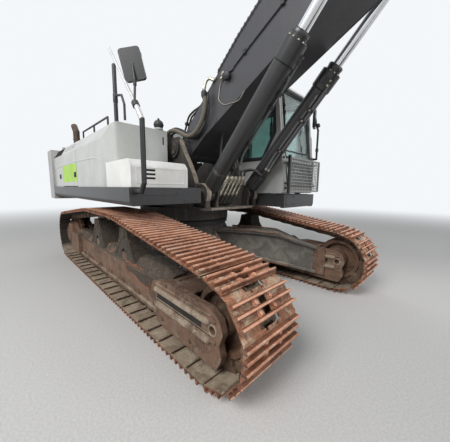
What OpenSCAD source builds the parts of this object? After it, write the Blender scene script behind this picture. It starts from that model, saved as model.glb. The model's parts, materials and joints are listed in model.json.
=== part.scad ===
// Crawler excavator: two tracks under a swinging house with a cab, a bent boom, an arm and a bucket.
// X points forward along the boom, Y to the left, Z up, with the ground at z = 0. All sizes are in millimetres.
// Places are worked out from the swing axis, and each sub-part is then moved back by mid_x,
// so that the origin is the middle of the whole machine's box, on the ground.

/* [Undercarriage] */
// Distance between the centre lines of the two tracks
gauge = 2390; // [2380:10:2740]
// Width of a track shoe
shoe_w = 600; // [500:50:600]
// Distance between two pins of a track chain
pitch = 216; // [212:1:220]
// Distance between the idler and sprocket axles before the chain is tensioned
axle_span = 4570; // [4500:10:4700]
// Radius of the pin line round the front idler
idler_r = 340; // [330:5:350]
// Half teeth of the rear sprocket, of which a chain uses every other one
half_teeth = 21; // [21:2:21]
// Depth of a chain link
link_h = 90; // [84:2:96]
// Thickness of one chain rail
link_t = 45; // [40:1:50]
// Distance from the pin line up to the underside of a shoe
seat_h = 60; // [56:1:66]
// Thickness of a shoe's plate
plate_t = 14; // [10:1:18]
// Height of a grouser bar above its plate
grouser_h = 36; // [25:1:45]
// Height of the top run's bars over the carrier rollers
top_run = 1140; // [1110:5:1150]
// Radius of a bottom roller's tread
roller_r = 90; // [80:1:95]
// Bottom rollers on each side
roller_count = 8; // [6:1:9]
// Radius of a carrier roller
carrier_r = 85; // [75:1:90]
// Place of the two carrier rollers, ahead of and behind the swing axis
carrier_x = 540; // [450:10:650]
// Width of a track frame's beam
beam_w = 270; // [260:2:280]
// Thickness of the track frame's plates
beam_t = 16; // [12:1:20]
// Height of a track frame's side plates
beam_top = 520; // [500:5:540]
// Height of the lower edge of a track frame's side plates
beam_low = 170; // [165:1:190]
// Distance between the outer faces of the idler guards
guard_w = 410; // [400:5:430]
// Radius of the tie-down hole in an idler guard
tie_hole_r = 32; // [20:1:40]
// Direction of the car body's legs
leg_turn = 35; // [32:1:38]
// Width of a leg's top and bottom plates
leg_w = 400; // [340:10:440]

/* [Slewing platform] */
// Height of the car body's ring seat
ring_seat = 950; // [930:5:980]
// Outer radius of the slewing ring
ring_r = 770; // [740:10:800]
// Height of the slewing platform's underside
platform_z = 1165; // [1155:5:1170]
// Thickness of the platform's base plate
base_t = 35; // [25:1:40]
// Half width of the platform's centre section
centre_w = 550; // [545:5:560]
// Front edge of the platform's base plate
base_front = 1215; // [1200:5:1225]
// Height of the right deck
deck_right_z = 1460; // [1440:5:1480]
// Depth of the right deck's skirt
skirt_h = 195; // [180:5:220]
// Height of the left deck, which carries the cab
deck_left_z = 1380; // [1375:5:1390]
// Half width of the decks
deck_w = 1495; // [1490:5:1495]
// Front edge of the right deck
deck_right_front = 1200; // [1190:5:1215]
// Front edge of the left deck
deck_left_front = 1700; // [1690:5:1760]
// Radius that the counterweight's tail sweeps
tail_r = 3760; // [3700:10:3850]
// Front face of the counterweight, behind the swing axis
weight_front = 2950; // [2900:10:3000]

/* [House] */
// Distance of the side doors from the centre line
house_w = 1460; // [1455:5:1465]
// Height of the house's flat roof
roof_z = 2260; // [2240:5:2300]
// Thickness of the doors and panels
sheet = 22; // [20:1:40]
// Front face of the fuel tank
tank_front = 450; // [430:5:470]
// Rear face of the fuel tank, behind the swing axis
tank_back = 950; // [900:10:1000]
// Front face of the tool box
box_front = 1170; // [1100:5:1180]
// Height of the tool box on its deck
box_h = 290; // [250:5:320]
// Height of the engine hood's top
hood_z = 2620; // [2500:10:2700]
// Half width of the engine hood
hood_w = 870; // [860:5:880]

/* [Cab] */
// Rear face of the cab, behind the swing axis
cab_back = 150; // [150:5:160]
// Inner side of the cab, from the centre line
cab_in = 525; // [525:5:540]
// Outer side of the cab, from the centre line
cab_out = 1460; // [1450:5:1465]
// Height of the cab's roof
cab_roof = 3100; // [3080:5:3150]
// Thickness of the cab's walls
cab_t = 50; // [45:1:55]

/* [Boom, arm and bucket] */
// Boom foot pin ahead of the swing axis
foot_x = 450; // [440:5:460]
// Height of the boom foot pin
foot_z = 2030; // [2020:5:2040]
// Boom length from foot pin to nose pin
boom_len = 7000; // [6800:50:7200]
// Angle of the boom's pin line above level
boom_up = 14.5; // [10:0.5:20]
// Half width of the boom
boom_w = 280; // [270:5:290]
// Thickness of the boom and arm plates
box_t = 22; // [16:1:28]
// Boom cylinder's foot pin ahead of the swing axis
cyl_x = 1100; // [1095:1:1105]
// Height of the boom cylinder's foot pin
cyl_z = 1380; // [1370:5:1390]
// Distance of the boom cylinders from the centre line
cyl_y = 400; // [396:1:402]
// Outer radius of a boom cylinder's barrel
barrel_r = 100; // [90:1:105]
// Radius of a boom cylinder's rod
rod_r = 56; // [50:1:60]
// Arm length from the nose pin to the bucket pin
arm_len = 2900; // [2800:50:3000]
// Half width of the arm
arm_w = 185; // [180:1:190]
// Height of the bucket pin as the bucket rests
bucket_pin_z = 1310; // [1300:5:1320]
// Distance from the bucket pin to the tooth tips
bucket_tip_r = 1760; // [1740:5:1780]
// Width of the bucket
bucket_w = 1500; // [1300:50:1700]
// Gap between the resting bucket and the ground
bucket_gap = 10; // [6:1:20]

/* [Hidden] */
$fn = 64;

// Running clearance round a pin, and the seated gap between two pieces that only rest on each other
run = 0.05;
seat = 0.3;

// Plane geometry: directions, turned vectors and rounded outlines
function unit(v) = v / norm(v);
function dir(a) = [cos(a), sin(a)];
function angle(v) = atan2(v.y, v.x);
function turn(v, a) = [v.x * cos(a) - v.y * sin(a), v.x * sin(a) + v.y * cos(a)];
function sum(v, n) = n <= 0 ? 0 : v[n - 1] + sum(v, n - 1);
// Points of the arc that rounds corner p between its neighbours a and b
function corner(p, a, b, r, n = 5) =
  let(u = unit(a - p), w = unit(b - p), half = acos(u * w) / 2, c = p + unit(u + w) * r / sin(half),
    s = p + u * r / tan(half), e = p + w * r / tan(half), from = angle(s - c),
    sweep = (angle(e - c) - from + 540) % 360 - 180)
  [for (i = [0:n]) c + r * dir(from + sweep * i / n)];
// Outline whose points are [x, y, corner radius], a radius of 0 keeping a sharp corner
function rounded(q) = [for (i = [0:len(q) - 1])
  let(p = [q[i].x, q[i].y], a = q[(i + len(q) - 1) % len(q)], b = q[(i + 1) % len(q)])
  each (q[i][2] > 0 ? corner(p, [a.x, a.y], [b.x, b.y], q[i][2]) : [p])];
// The same outline moved inwards by d, for points that run anticlockwise
function inset(q, d) = [for (i = [0:len(q) - 1])
  let(p = [q[i].x, q[i].y], a = q[(i + len(q) - 1) % len(q)], b = q[(i + 1) % len(q)],
    u = unit(p - [a.x, a.y]), w = unit([b.x, b.y] - p), n = [-u.y, u.x], m = [-w.y, w.x],
    s = p + d * (n + m) / (1 + n * m))
  [s.x, s.y, max(q[i][2] - d, 0)]];

// Track path in the X-Z plane: wheels are [x, z, radius of the pin line], in the chain's own order
outer_h = seat_h + plate_t + grouser_h;
sprocket_r = half_teeth / 2 * pitch / (2 * PI);
sprocket_x = -axle_span / 2;
sprocket_z = sprocket_r + outer_h;
idler_z = idler_r + outer_h;
carrier_sag = 8;
carrier_z = top_run - outer_h - link_h / 2 - carrier_sag - carrier_r;
function wheels(ix) = [[ix, idler_z, idler_r],
  [carrier_x, carrier_z, carrier_r + carrier_sag + link_h / 2],
  [-carrier_x, carrier_z, carrier_r + carrier_sag + link_h / 2],
  [sprocket_x, sprocket_z, sprocket_r]];
function gap(w, i) = let(a = w[i], b = w[(i + 1) % 4]) [b.x - a.x, b.y - a.y];
function heading(w, i) = let(j = (i + 4) % 4, g = gap(w, j))
  angle(g) + asin((w[j][2] - w[(j + 1) % 4][2]) / norm(g));
function bend(w, i) = (heading(w, i) - heading(w, i - 1) + 720) % 360;
function arc_len(w, i) = w[i][2] * bend(w, i) * PI / 180;
function run_len(w, i) = let(g = gap(w, i), d = w[i][2] - w[(i + 1) % 4][2]) sqrt(g * g - d * d);
function path_len(w) = sum([for (i = [0:3]) arc_len(w, i) + run_len(w, i)], 4);
shoes = round(path_len(wheels(axle_span / 2)) / pitch);
idler_x = axle_span / 2 + (shoes * pitch - path_len(wheels(axle_span / 2))) / 2;
path = wheels(idler_x);
step = path_len(path) / shoes;
starts = [for (i = [0:4]) sum([for (j = [0:3]) arc_len(path, j) + run_len(path, j)], i)];
function stretch(s) = s < starts[1] ? 0 : s < starts[2] ? 1 : s < starts[3] ? 2 : 3;
function on_path(s) = let(i = stretch(s), w = path[i], d = s - starts[i], h = heading(path, i - 1), a = arc_len(path, i))
  d < a ? [w.x, w.y] + w[2] * dir(h - 90 + d / w[2] * 180 / PI)
        : [w.x, w.y] + w[2] * dir(heading(path, i) - 90) + (d - a) * dir(heading(path, i));
pins = [for (i = [0:shoes - 1]) on_path(i * step)];
function pin(i) = pins[(i + shoes) % shoes];
function along(i) = unit(pin(i + 1) - pin(i));
function outward(i) = let(u = along(i)) [u.y, -u.x];
// Point at height v above pin i, on the line between two shoes
function joint_point(i, v) = let(m = unit(outward(i) + outward(i - 1))) pin(i) + m * v / (m * outward(i));
// First chain pin on the sprocket, which sets where its teeth stand
first_on_sprocket = ceil(starts[3] / step);
tooth_from = heading(path, 2) - 90 + (first_on_sprocket * step - starts[3]) / sprocket_r * 180 / PI;
idler_rim = sqrt(pow(idler_r, 2) - pow(step / 2, 2)) - link_h / 2 - seat;
roller_z = outer_h + link_h / 2 + roller_r + seat;
rail_in = 50;
rail_out = rail_in + link_t;
roller_end = rail_out + 19;

// Work equipment: pins in the X-Z plane
foot = [foot_x, foot_z];
cyl = [cyl_x, cyl_z];
boom_eye = [2884, 845];
nose = foot + boom_len * dir(boom_up);
arm_down = -180 + asin((nose.y - bucket_pin_z) / arm_len);
tip = nose + arm_len * dir(arm_down);
bucket_turn = -180 + asin((bucket_pin_z - bucket_gap) / bucket_tip_r);
function in_boom(p) = foot + turn(p, boom_up);
function in_arm(p) = nose + turn(p, arm_down);
function in_bucket(p) = tip + turn(p, bucket_turn);
rod_eye = in_boom(boom_eye);
arm_foot_local = [3750, 1680];
arm_foot = in_boom(arm_foot_local);
tail_local = [-880, 360];
arm_tail = in_arm(tail_local);
bucket_foot_local = [250, 620];
bucket_foot = in_arm(bucket_foot_local);
rocker_local = [arm_len - 470, -10];
rocker_pin = in_arm(rocker_local);
rocker_len = 680;
link_len = 620;
link_r = 490;
link_turn = 100;
link_pin = in_bucket(link_r * dir(link_turn));
// Crossing of two circles round a and b, on the left of the way from a to b
function crossing(a, ra, b, rb) = let(g = b - a, d = norm(g), x = (ra * ra - rb * rb + d * d) / (2 * d),
  h = sqrt(ra * ra - x * x), u = g / d) a + u * x + [-u.y, u.x] * h;
rocker_eye = crossing(rocker_pin, rocker_len, link_pin, link_len);

// Middle of the whole machine's box along X, from its tail to the round boss on the arm's tail
tail_boss = 150;
reach = arm_tail.x + tail_boss;
mid_x = (reach - tail_r) / 2;

// Moves a piece from the swing axis to the machine's own origin
module set() translate([-mid_x, 0, 0]) children();
// Plane outline in X-Z, made solid between two places in Y
module slab(y0, y1) translate([0, y1, 0]) rotate([90, 0, 0]) linear_extrude(y1 - y0) children();
// The same on both sides of the centre line
module pair() {
  children();
  mirror([0, 1, 0]) children();
}
module right() mirror([0, 1, 0]) children();
// Round bar along Y at a point of the X-Z plane
module bar(p, r, y0, y1) translate([p.x, y0, p.y]) rotate([-90, 0, 0]) cylinder(r = r, h = y1 - y0);
// Round bar from point a to point b
module tube(a, b, r) let(v = b - a)
  translate(a) rotate([0, acos(v.z / norm(v)), atan2(v.y, v.x)]) cylinder(r = r, h = norm(v));
// Bent tube through a list of points, with round elbows
module pipe(points, r) {
  for (i = [0:len(points) - 2]) tube(points[i], points[i + 1], r);
  for (i = [1:len(points) - 2]) translate(points[i]) sphere(r = r * 1.03, $fn = 32);
}
module box(a, b) translate(a) cube(b - a);
// Ribbon of thickness t along a line of points, on its left side
module ribbon(q, t) {
  n = len(q);
  side = [for (i = [0:n - 1]) let(u = unit(q[min(i + 1, n - 1)] - q[max(i - 1, 0)])) q[i] + t * [-u.y, u.x]];
  polygon(concat(q, [for (i = [n - 1:-1:0]) side[i]]));
}
// Piece turned about Y so that its own X axis points along v from point a
module aim(a, v) translate([a.x, 0, a.y]) rotate([0, -angle(v), 0]) children();
module in_boom_frame() aim(foot, dir(boom_up)) children();
module in_arm_frame() aim(nose, dir(arm_down)) children();
module in_bucket_frame() aim(tip, dir(bucket_turn)) children();

// Car body: a round tub with four legs that end at the track frames' inner plates
leg_end = guard_w / 2 + seat;
module leg(sx) {
  reach_leg = 1900;
  top = [[0, 800], [900, 800], [1300, 770], [reach_leg, 600]];
  low = [[0, 420], [700, 420], [1200, 330], [reach_leg, 200]];
  scale([sx, 1, 1]) translate([400, 0, 0]) rotate([0, 0, leg_turn]) {
    slab(-leg_w / 2 + 60, leg_w / 2 - 60) polygon(concat(low, [for (i = [3:-1:0]) top[i]]));
    slab(-leg_w / 2, leg_w / 2) ribbon([for (i = [3:-1:0]) top[i]], 30);
    slab(-leg_w / 2, leg_w / 2) ribbon(low, 30);
  }
}
module center_frame() color([0.27, 0.26, 0.25]) set() {
  intersection() {
    pair() for (sx = [1, -1]) leg(sx);
    box([-2600, leg_end - gauge / 2, 100], [2600, gauge / 2 - leg_end, ring_seat]);
  }
  difference() {
    union() {
      translate([0, 0, 400]) cylinder(r = 690, h = ring_seat - 430);
      translate([0, 0, ring_seat - 60]) cylinder(r = 760, h = 60);
    }
    translate([0, 0, 500]) cylinder(r = 560, h = ring_seat);
  }
}
module swing_bearing() color([0.2, 0.2, 0.2]) set() difference() {
  translate([0, 0, ring_seat]) cylinder(r = ring_r - 70, h = 120);
  translate([0, 0, ring_seat - 1]) cylinder(r = ring_r - 160, h = 122);
}

// Track frame of the left side, with its centre line on y = 0 and the outer side towards +Y
frame_back = sprocket_x + 305;
guard_back = idler_x - 824;
guard_front = idler_x + 130;
guard_t = 55;
// Guard plate beside the idler, with two ribs that start at rib_from
module guard_side(rib_from) {
  difference() {
    slab(guard_w / 2 - guard_t, guard_w / 2)
      polygon(rounded([[guard_back, 150, 0], [guard_back + 140, 130, 20], [guard_front - 70, 130, 50],
        [guard_front - 10, 250, 50], [guard_front - 40, 340, 20], [guard_front, 440, 50], [guard_front - 40, 540, 40],
        [guard_front - 140, 590, 50], [guard_back + 200, 600, 40], [guard_back, 560, 0]]));
    bar([guard_front - 110, 430], tie_hole_r, guard_w / 2 - guard_t - 5, guard_w / 2 + 1);
  }
  for (z = [345, 510]) bar_x(rib_from, guard_front - 70, guard_w / 2, z, 15);
}
// Half-round rib along X on a plate's outer face, with round ends
module bar_x(x0, x1, y, z, r) intersection() {
  union() {
    tube([x0 + r, y, z], [x1 - r, y, z], r);
    for (x = [x0 + r, x1 - r]) translate([x, y, z]) sphere(r = r, $fn = 32);
  }
  box([x0, y - 1, z - r], [x1, y + r, z + r]);
}
module carrier_stand() difference() {
  slab(104, 129) polygon([[-300, beam_top - 6], [300, beam_top - 6], [290, beam_top + 50], [60, carrier_z + 62],
    [-60, carrier_z + 62], [-290, beam_top + 50]]);
  slab(100, 135) polygon([[-180, beam_top + 110], [180, beam_top + 110], [40, carrier_z - 60], [-40, carrier_z - 60]]);
}
module track_frame() {
  half = beam_w / 2;
  difference() {
    // Section of the beam as [across, height]: side plates below, a sloped roof above
    translate([frame_back, 0, 0]) rotate([90, 0, 90]) linear_extrude(guard_back + 60 - frame_back)
      polygon([[-half, beam_low], [-half, beam_top], [-60, beam_top + 80], [60, beam_top + 80], [half, beam_top],
        [half, beam_low], [half - beam_t, beam_low], [half - beam_t, roller_z + roller_r + 30],
        [beam_t - half, roller_z + roller_r + 30], [beam_t - half, beam_low]]);
    box([frame_back + 80, 3 * beam_t - half, roller_z + roller_r + 60], [guard_back - 100, half - 3 * beam_t, beam_top - 20]);
    // Pocket for the sprocket's teeth
    bar([sprocket_x, sprocket_z], sprocket_r + 35, -45, 45);
  }
  pair() {
    box([frame_back, half - 1, beam_low], [guard_back + 60, half + 30, beam_low + 22]);
    for (x = [-carrier_x, carrier_x]) translate([x, 0, 0]) carrier_stand();
    box([sprocket_x + 245, half - beam_t, beam_low + 10], [frame_back + 480, guard_w / 2, 560]);
  }
  guard_side(guard_back + 20);
  // The inner plate's ribs start in front of the car body's leg
  right() guard_side(guard_back + 600);
  box([guard_back, 1 - guard_w / 2, 175], [guard_back + 240, guard_w / 2 - 1, 545]);
  // Top plate over the spring, between the guards, with a pressed field
  difference() {
    slab(1 - guard_w / 2, guard_w / 2 - 1) ribbon([[guard_back + 510, 575], [guard_back + 200, 590], [guard_back, 545]], 16);
    slab(-90, 90) ribbon([[guard_back + 430, 568], [guard_back + 220, 578]], -20);
  }
  // Rear plate on the inner side, which carries the travel motor
  difference() {
    slab(-guard_w / 2, -124) union() {
      translate([sprocket_x, sprocket_z]) circle(r = 250);
      polygon([[sprocket_x + 40, sprocket_z - 246], [frame_back + 80, 190], [frame_back + 80, 560],
        [sprocket_x + 40, sprocket_z + 246]]);
    }
    bar([sprocket_x, sprocket_z], 120, -guard_w, 0);
  }
  bar([sprocket_x, sprocket_z], 165, -guard_w / 2 - 130, -124);
}
module track_frame_left() color([0.36, 0.29, 0.24]) set() translate([0, gauge / 2, 0]) track_frame();
module track_frame_right() color([0.36, 0.29, 0.24]) set() right() translate([0, gauge / 2, 0]) track_frame();

// One shoe's outer side as [along, height above the pin line], with three grouser bars
function shoe_side() = let(t = seat_h + plate_t)
  [for (i = [0:2]) let(c = 20 + i * pitch / 3) each [[c - 14, t], [c, t + grouser_h], [c + 14, t]]];
module track() {
  ring = [for (i = [0:shoes - 1]) each [for (q = shoe_side()) pin(i) + q.x * along(i) + q.y * outward(i)]];
  under = [for (i = [0:shoes - 1]) joint_point(i, seat_h)];
  chain_in = [for (i = [0:shoes - 1]) joint_point(i, -link_h / 2)];
  chain_out = [for (i = [0:shoes - 1]) joint_point(i, seat_h + 2)];
  slab(-shoe_w / 2, shoe_w / 2) difference() {
    polygon(ring);
    polygon(under);
  }
  pair() slab(rail_in, rail_out) difference() {
    polygon(chain_out);
    polygon(chain_in);
  }
}
module track_left() color([0.5, 0.28, 0.17]) set() translate([0, gauge / 2, 0]) track();
module track_right() color([0.5, 0.28, 0.17]) set() right() translate([0, gauge / 2, 0]) track();

// Wheel turned about Y from a half section of [radius, across] points, mirrored to both sides
module turned(p, half_section) translate([p.x, 0, p.y]) rotate([90, 0, 0])
  rotate_extrude() polygon(concat([for (q = half_section) [q.x, q.y]],
    [for (i = [len(half_section) - 1:-1:0]) [half_section[i].x, -half_section[i].y]]));
module idler() turned([idler_x, idler_z], [[0, guard_w / 2 - 55], [52, guard_w / 2 - 55], [52, 108], [110, 108],
  [120, 40], [idler_rim - 60, 28], [idler_rim - 45, rail_out + 2], [idler_rim, rail_out + 2], [idler_rim, rail_in - 3],
  [idler_rim + 26, rail_in - 12]]);
module idler_left() color([0.42, 0.3, 0.22]) set() translate([0, gauge / 2, 0]) idler();
module idler_right() color([0.42, 0.3, 0.22]) set() right() translate([0, gauge / 2, 0]) idler();

module sprocket() {
  difference() {
    bar([sprocket_x, sprocket_z], sprocket_r + 12, -28, 28);
    for (i = [0:half_teeth - 1])
      bar([sprocket_x, sprocket_z] + sprocket_r * dir(tooth_from + i * 360 / half_teeth), 36, -30, 30);
  }
  translate([sprocket_x, 0, sprocket_z]) rotate([-90, 0, 0]) rotate_extrude()
    polygon([[0, -124 + seat], [200, -124 + seat], [215, -60], [270, -40], [270, 60], [235, 110], [225, 170],
      [160, 190], [150, 205], [0, 205]]);
}
module sprocket_left() color([0.3, 0.24, 0.2]) set() translate([0, gauge / 2, 0]) sprocket();
module sprocket_right() color([0.3, 0.24, 0.2]) set() right() translate([0, gauge / 2, 0]) sprocket();

module rollers() {
  first = frame_back + 200;
  last = guard_back - 120;
  half = beam_w / 2 - beam_t;
  for (i = [0:roller_count - 1]) turned([first + (last - first) * i / (roller_count - 1), roller_z],
    [[0, half], [34, half], [34, roller_end], [roller_r + 16, roller_end], [roller_r + 16, rail_out + 4],
      [roller_r, rail_out + 3], [roller_r, rail_in - 3], [roller_r - 16, rail_in - 8]]);
  for (x = [-carrier_x, carrier_x]) turned([x, carrier_z],
    [[0, 104], [36, 104], [36, 100], [carrier_r, 100], [carrier_r, rail_in - 3], [carrier_r - 12, rail_in - 8]]);
}
module rollers_left() color([0.33, 0.27, 0.22]) set() translate([0, gauge / 2, 0]) rollers();
module rollers_right() color([0.33, 0.27, 0.22]) set() right() translate([0, gauge / 2, 0]) rollers();

// Slewing platform: base plate, boom brackets with front flanges, side rails and ring
bracket_y = 450;
bracket_t = 30;
boss_out = 512;
// Front edge of a bracket: round the cylinder's pin, then up behind the raised barrel to the foot pin
boss_r = 140;
bracket_edge = concat([[base_front, platform_z + base_t]], [for (a = [-35:22.5:100]) cyl + boss_r * dir(a)],
  [[cyl_x - 118, 1522], [cyl_x - 150, 1600], [860, 1760], [720, 1960], [625, 2140]]);
module swing_frame() color([0.3, 0.28, 0.26]) set() {
  difference() {
    union() {
      box([-weight_front, -centre_w, platform_z], [base_front - 120, centre_w, platform_z + base_t]);
      box([base_front - 121, -centre_w + 120, platform_z], [base_front, centre_w - 120, platform_z + base_t]);
      pair() translate([base_front - 120, centre_w - 120, platform_z]) cylinder(r = 120, h = base_t);
    }
    translate([0, 0, platform_z - 1]) cylinder(r = 300, h = base_t + 2);
  }
  translate([0, 0, ring_seat + 20]) difference() {
    cylinder(r = ring_r, h = platform_z - ring_seat - 20);
    translate([0, 0, -1]) cylinder(r = ring_r - 70 + seat, h = platform_z - ring_seat);
  }
  pair() {
    {
        slab(bracket_y, bracket_y + bracket_t) polygon(concat(bracket_edge, [[540, 2195], [360, 2195], [230, 2100],
          [-600, 1560], [-1300, 1430], [-1300, platform_z + base_t]]));
        slab(cyl_y - 97, cyl_y - 67) polygon(concat([[cyl_x - 250, platform_z + base_t - 1], [base_front, platform_z + base_t - 1]],
          [for (a = [-35:22.5:145]) cyl + boss_r * dir(a)]));
        slab(bracket_y + bracket_t - 1, boss_out) ribbon([for (i = [len(bracket_edge) - 1:-1:0]) bracket_edge[i]], -26);
        bar(foot, 125, bracket_y, boss_out);
        bar(cyl, 115, bracket_y, boss_out);
    }
    bar(cyl, 50, cyl_y - 90, boss_out + 4);
    box([-weight_front, centre_w - 43, platform_z + base_t - 1], [950, centre_w, deck_left_z - 10]);
  }
  bar(foot, 60, -boss_out - 4, boss_out + 4);
  // Swing motor between the brackets
  for (q = [[175, 230], [120, 400]]) translate([foot_x - 20, 0, platform_z + base_t - 1]) cylinder(r = q[0], h = q[1]);
  // Stand that carries the boom hoses
  box([80, -bracket_y - bracket_t, 1980], [120, -300, hose_line[0].y - hose_r - seat]);
  // Taller rail towards the right deck
  box([-weight_front, -centre_w - 40, platform_z + base_t], [950, -centre_w + 1, deck_right_z - 12]);
}

// Deck of one side: a box beam outside, a plate inside, ribs and a top sheet
module deck(inner, front, low, top) {
  beam = 110;
  box([-weight_front, inner, top - 12], [front, deck_w - 20, top]);
  translate([-weight_front, 0, 0]) rotate([90, 0, 90]) linear_extrude(front + weight_front)
    polygon(rounded([[deck_w - beam, low, 0], [deck_w - 35, low, 12], [deck_w, low + 45, 12], [deck_w, top, 8],
      [deck_w - beam, top, 0]]));
  box([-weight_front, inner, low + 20], [front, inner + 25, top]);
  box([front - 60, inner, low + 8], [front, deck_w - beam + 1, top]);
  for (x = [-2300, -1500, -700, 200]) box([x, inner + 24, low + 30], [x + 40, deck_w - beam + 1, top - 11]);
}
module deck_right() color([0.22, 0.22, 0.23]) set() right()
  deck(centre_w + 40, deck_right_front, deck_right_z - skirt_h, deck_right_z);
module deck_left() color([0.22, 0.22, 0.23]) set()
  deck(centre_w, deck_left_front, platform_z + 10, deck_left_z);

// Counterweight with a round tail, and a lug with a bore on each side of its top
lug_x = -weight_front - 350;
lug_y = 1180;
lug_t = 56;
lug_z = roof_z + 55;
module counterweight() color([0.55, 0.55, 0.54]) set() {
  difference() {
    intersection() {
      translate([0, 0, 1100]) cylinder(r = tail_r, h = 1400, $fn = 180);
      slab(-deck_w, deck_w) polygon(rounded([[-weight_front, 1190, 0], [-weight_front, roof_z, 0],
        [120 - tail_r, roof_z, 60], [-tail_r, roof_z - 140, 120], [-tail_r, 1420, 120], [200 - tail_r, 1190, 60]]));
      linear_extrude(3000) polygon(rounded([[-weight_front, -deck_w, 0], [-weight_front, deck_w, 0],
        [260 - tail_r, deck_w, 260], [-40 - tail_r, 1200, 200], [-40 - tail_r, -1200, 200], [260 - tail_r, -deck_w, 260]]));
    }
    box([330 - tail_r, -1150, 1330], [-weight_front - 130, 1150, roof_z - 120]);
    // Seam between the weight and its lower skirt, and the steps of its rear face
    difference() {
      box([-tail_r - 1, -deck_w - 1, 1560], [-weight_front - 200, deck_w + 1, 1572]);
      translate([0, 0, 1500]) cylinder(r = tail_r - 14, h = 100, $fn = 180);
    }
  }
  pair() difference() {
    slab(lug_y - lug_t / 2, lug_y + lug_t / 2)
      polygon(rounded([[lug_x - 95, roof_z - 1, 0], [lug_x + 95, roof_z - 1, 0], [lug_x + 75, lug_z + 75, 70],
        [lug_x - 75, lug_z + 75, 70]]));
    bar([lug_x, lug_z], tie_hole_r, lug_y - lug_t, lug_y + lug_t);
  }
}

module engine_block() color([0.25, 0.27, 0.28]) set() {
  difference() {
    union() {
      box([-2750, -480, 1330], [-1950, 480, 1500]);
      box([-2750, -700, 1475], [-1950, 600, 2210]);
    }
    box([-2670, -620, 1540], [-2030, 520, 2130]);
  }
  for (x = [-2680, -2020], y = [-460, 460]) translate([x, y, platform_z + base_t]) cylinder(r = 45, h = 131);
}

// Side wall of the house as [across, height] points of its outer face, from the deck up to the roof
function wall_line(low) = [[house_w, low], [house_w, 2060], [house_w - 95, 2230], [house_w - 150, roof_z]];
module wall(x0, x1, low, roof = []) translate([x0, 0, 0]) rotate([90, 0, 90]) linear_extrude(x1 - x0)
  ribbon(concat(wall_line(low), roof), sheet);
door_gap = 6;
pump_back = 2070;
radiator_back = 1560;
door_low = 12;
free_gap = 14;
// Slots of a grille through the upper slope of a door, and through its upright face
module slope_slots(x0, x1) for (x = [x0:70:x1], z = [2110, 2160]) box([x, house_w - 110, z], [x + 50, house_w + 1, z + 22]);
module face_slots(x0, x1, z0, z1) for (x = [x0:300:x1], z = [z0:48:z1]) box([x, house_w - 60, z], [x + 240, house_w + 1, z + 20]);
module pump_door() color([0.74, 0.73, 0.69]) set() right() difference() {
  wall(-pump_back + door_gap, -tank_back - free_gap, deck_right_z + door_low);
  slope_slots(-pump_back + 100, -tank_back - 200);
}
module radiator_door() color([0.74, 0.73, 0.69]) set() difference() {
  wall(-radiator_back + door_gap, -cab_back - 20 - free_gap, deck_left_z + door_low);
  slope_slots(-radiator_back + 100, -cab_back - 200);
  face_slots(-radiator_back + 120, -cab_back - 400, 1640, 1960);
}
module house_panels() color([0.74, 0.73, 0.69]) set() {
  right() {
    wall(-weight_front, -pump_back, deck_right_z, [[hood_w - 40, roof_z]]);
    roof_strip(-pump_back - 1, -tank_back - 2);
    box([-pump_back, hood_w, deck_right_z], [-pump_back + sheet, house_w - 165, roof_z - sheet + 1]);
    box([-tank_back - sheet - 2, centre_w + 60, deck_right_z], [-tank_back - 2, house_w - 165, roof_z - sheet + 1]);
  }
  wall(-weight_front, -radiator_back, deck_left_z, [[hood_w - 40, roof_z]]);
  roof_strip(-radiator_back - 1, -cab_back - 20);
  box([-radiator_back, hood_w, deck_left_z], [-radiator_back + sheet, house_w - 165, roof_z - sheet + 1]);
  box([-cab_back - 20 - sheet, centre_w + 1, deck_left_z], [-cab_back - 20, house_w - 165, roof_z - sheet + 1]);
  // Bulkhead behind the boom foot and the cover over the valve bay
  box([-tank_back + 400, seat - bracket_y, platform_z + base_t], [-tank_back + 400 + sheet, bracket_y - seat, roof_z]);
  box([-tank_back - 2, -centre_w - 20, roof_z - sheet], [-tank_back + 401, centre_w, roof_z]);
}
// Flat roof beside a door, from under the hood's edge to short of the door's top
module roof_strip(x0, x1) box([x0, hood_w - 40, roof_z - sheet], [x1, house_w - 172, roof_z]);

module engine_hood() color([0.74, 0.73, 0.69]) set() {
  x0 = -weight_front + 10;
  x1 = -tank_back - 10;
  outline = [[-hood_w, roof_z + seat, 0], [hood_w, roof_z + seat, 0], [hood_w, hood_z - 60, 30], [hood_w - 110, hood_z, 50],
    [110 - hood_w, hood_z, 50], [-hood_w, hood_z - 60, 30]];
  difference() {
    translate([x0, 0, 0]) rotate([90, 0, 90]) linear_extrude(x1 - x0) polygon(rounded(outline));
    box([x0 + sheet, -hood_w + sheet, roof_z - 1], [x1 - sheet, hood_w - sheet, hood_z - 90]);
    box([x0 + sheet, -hood_w + 110, roof_z - 1], [x1 - sheet, hood_w - 110, hood_z - sheet]);
    pair() for (x = [x0 + 200:70:x0 + 900]) box([x, hood_w - sheet - 1, roof_z + 80], [x + 40, hood_w + 1, roof_z + 230]);
  }
}
module exhaust_pipe() color([0.3, 0.27, 0.25]) set() difference() {
  union() {
    translate([-2500, -1080, roof_z]) cylinder(r = 95, h = 30);
    pipe([[-2500, -1080, roof_z + 20], [-2500, -1080, 2640], [-2640, -1080, 2780]], 62);
  }
  tube([-2600, -1080, 2740], [-2720, -1080, 2860], 55);
}

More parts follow.
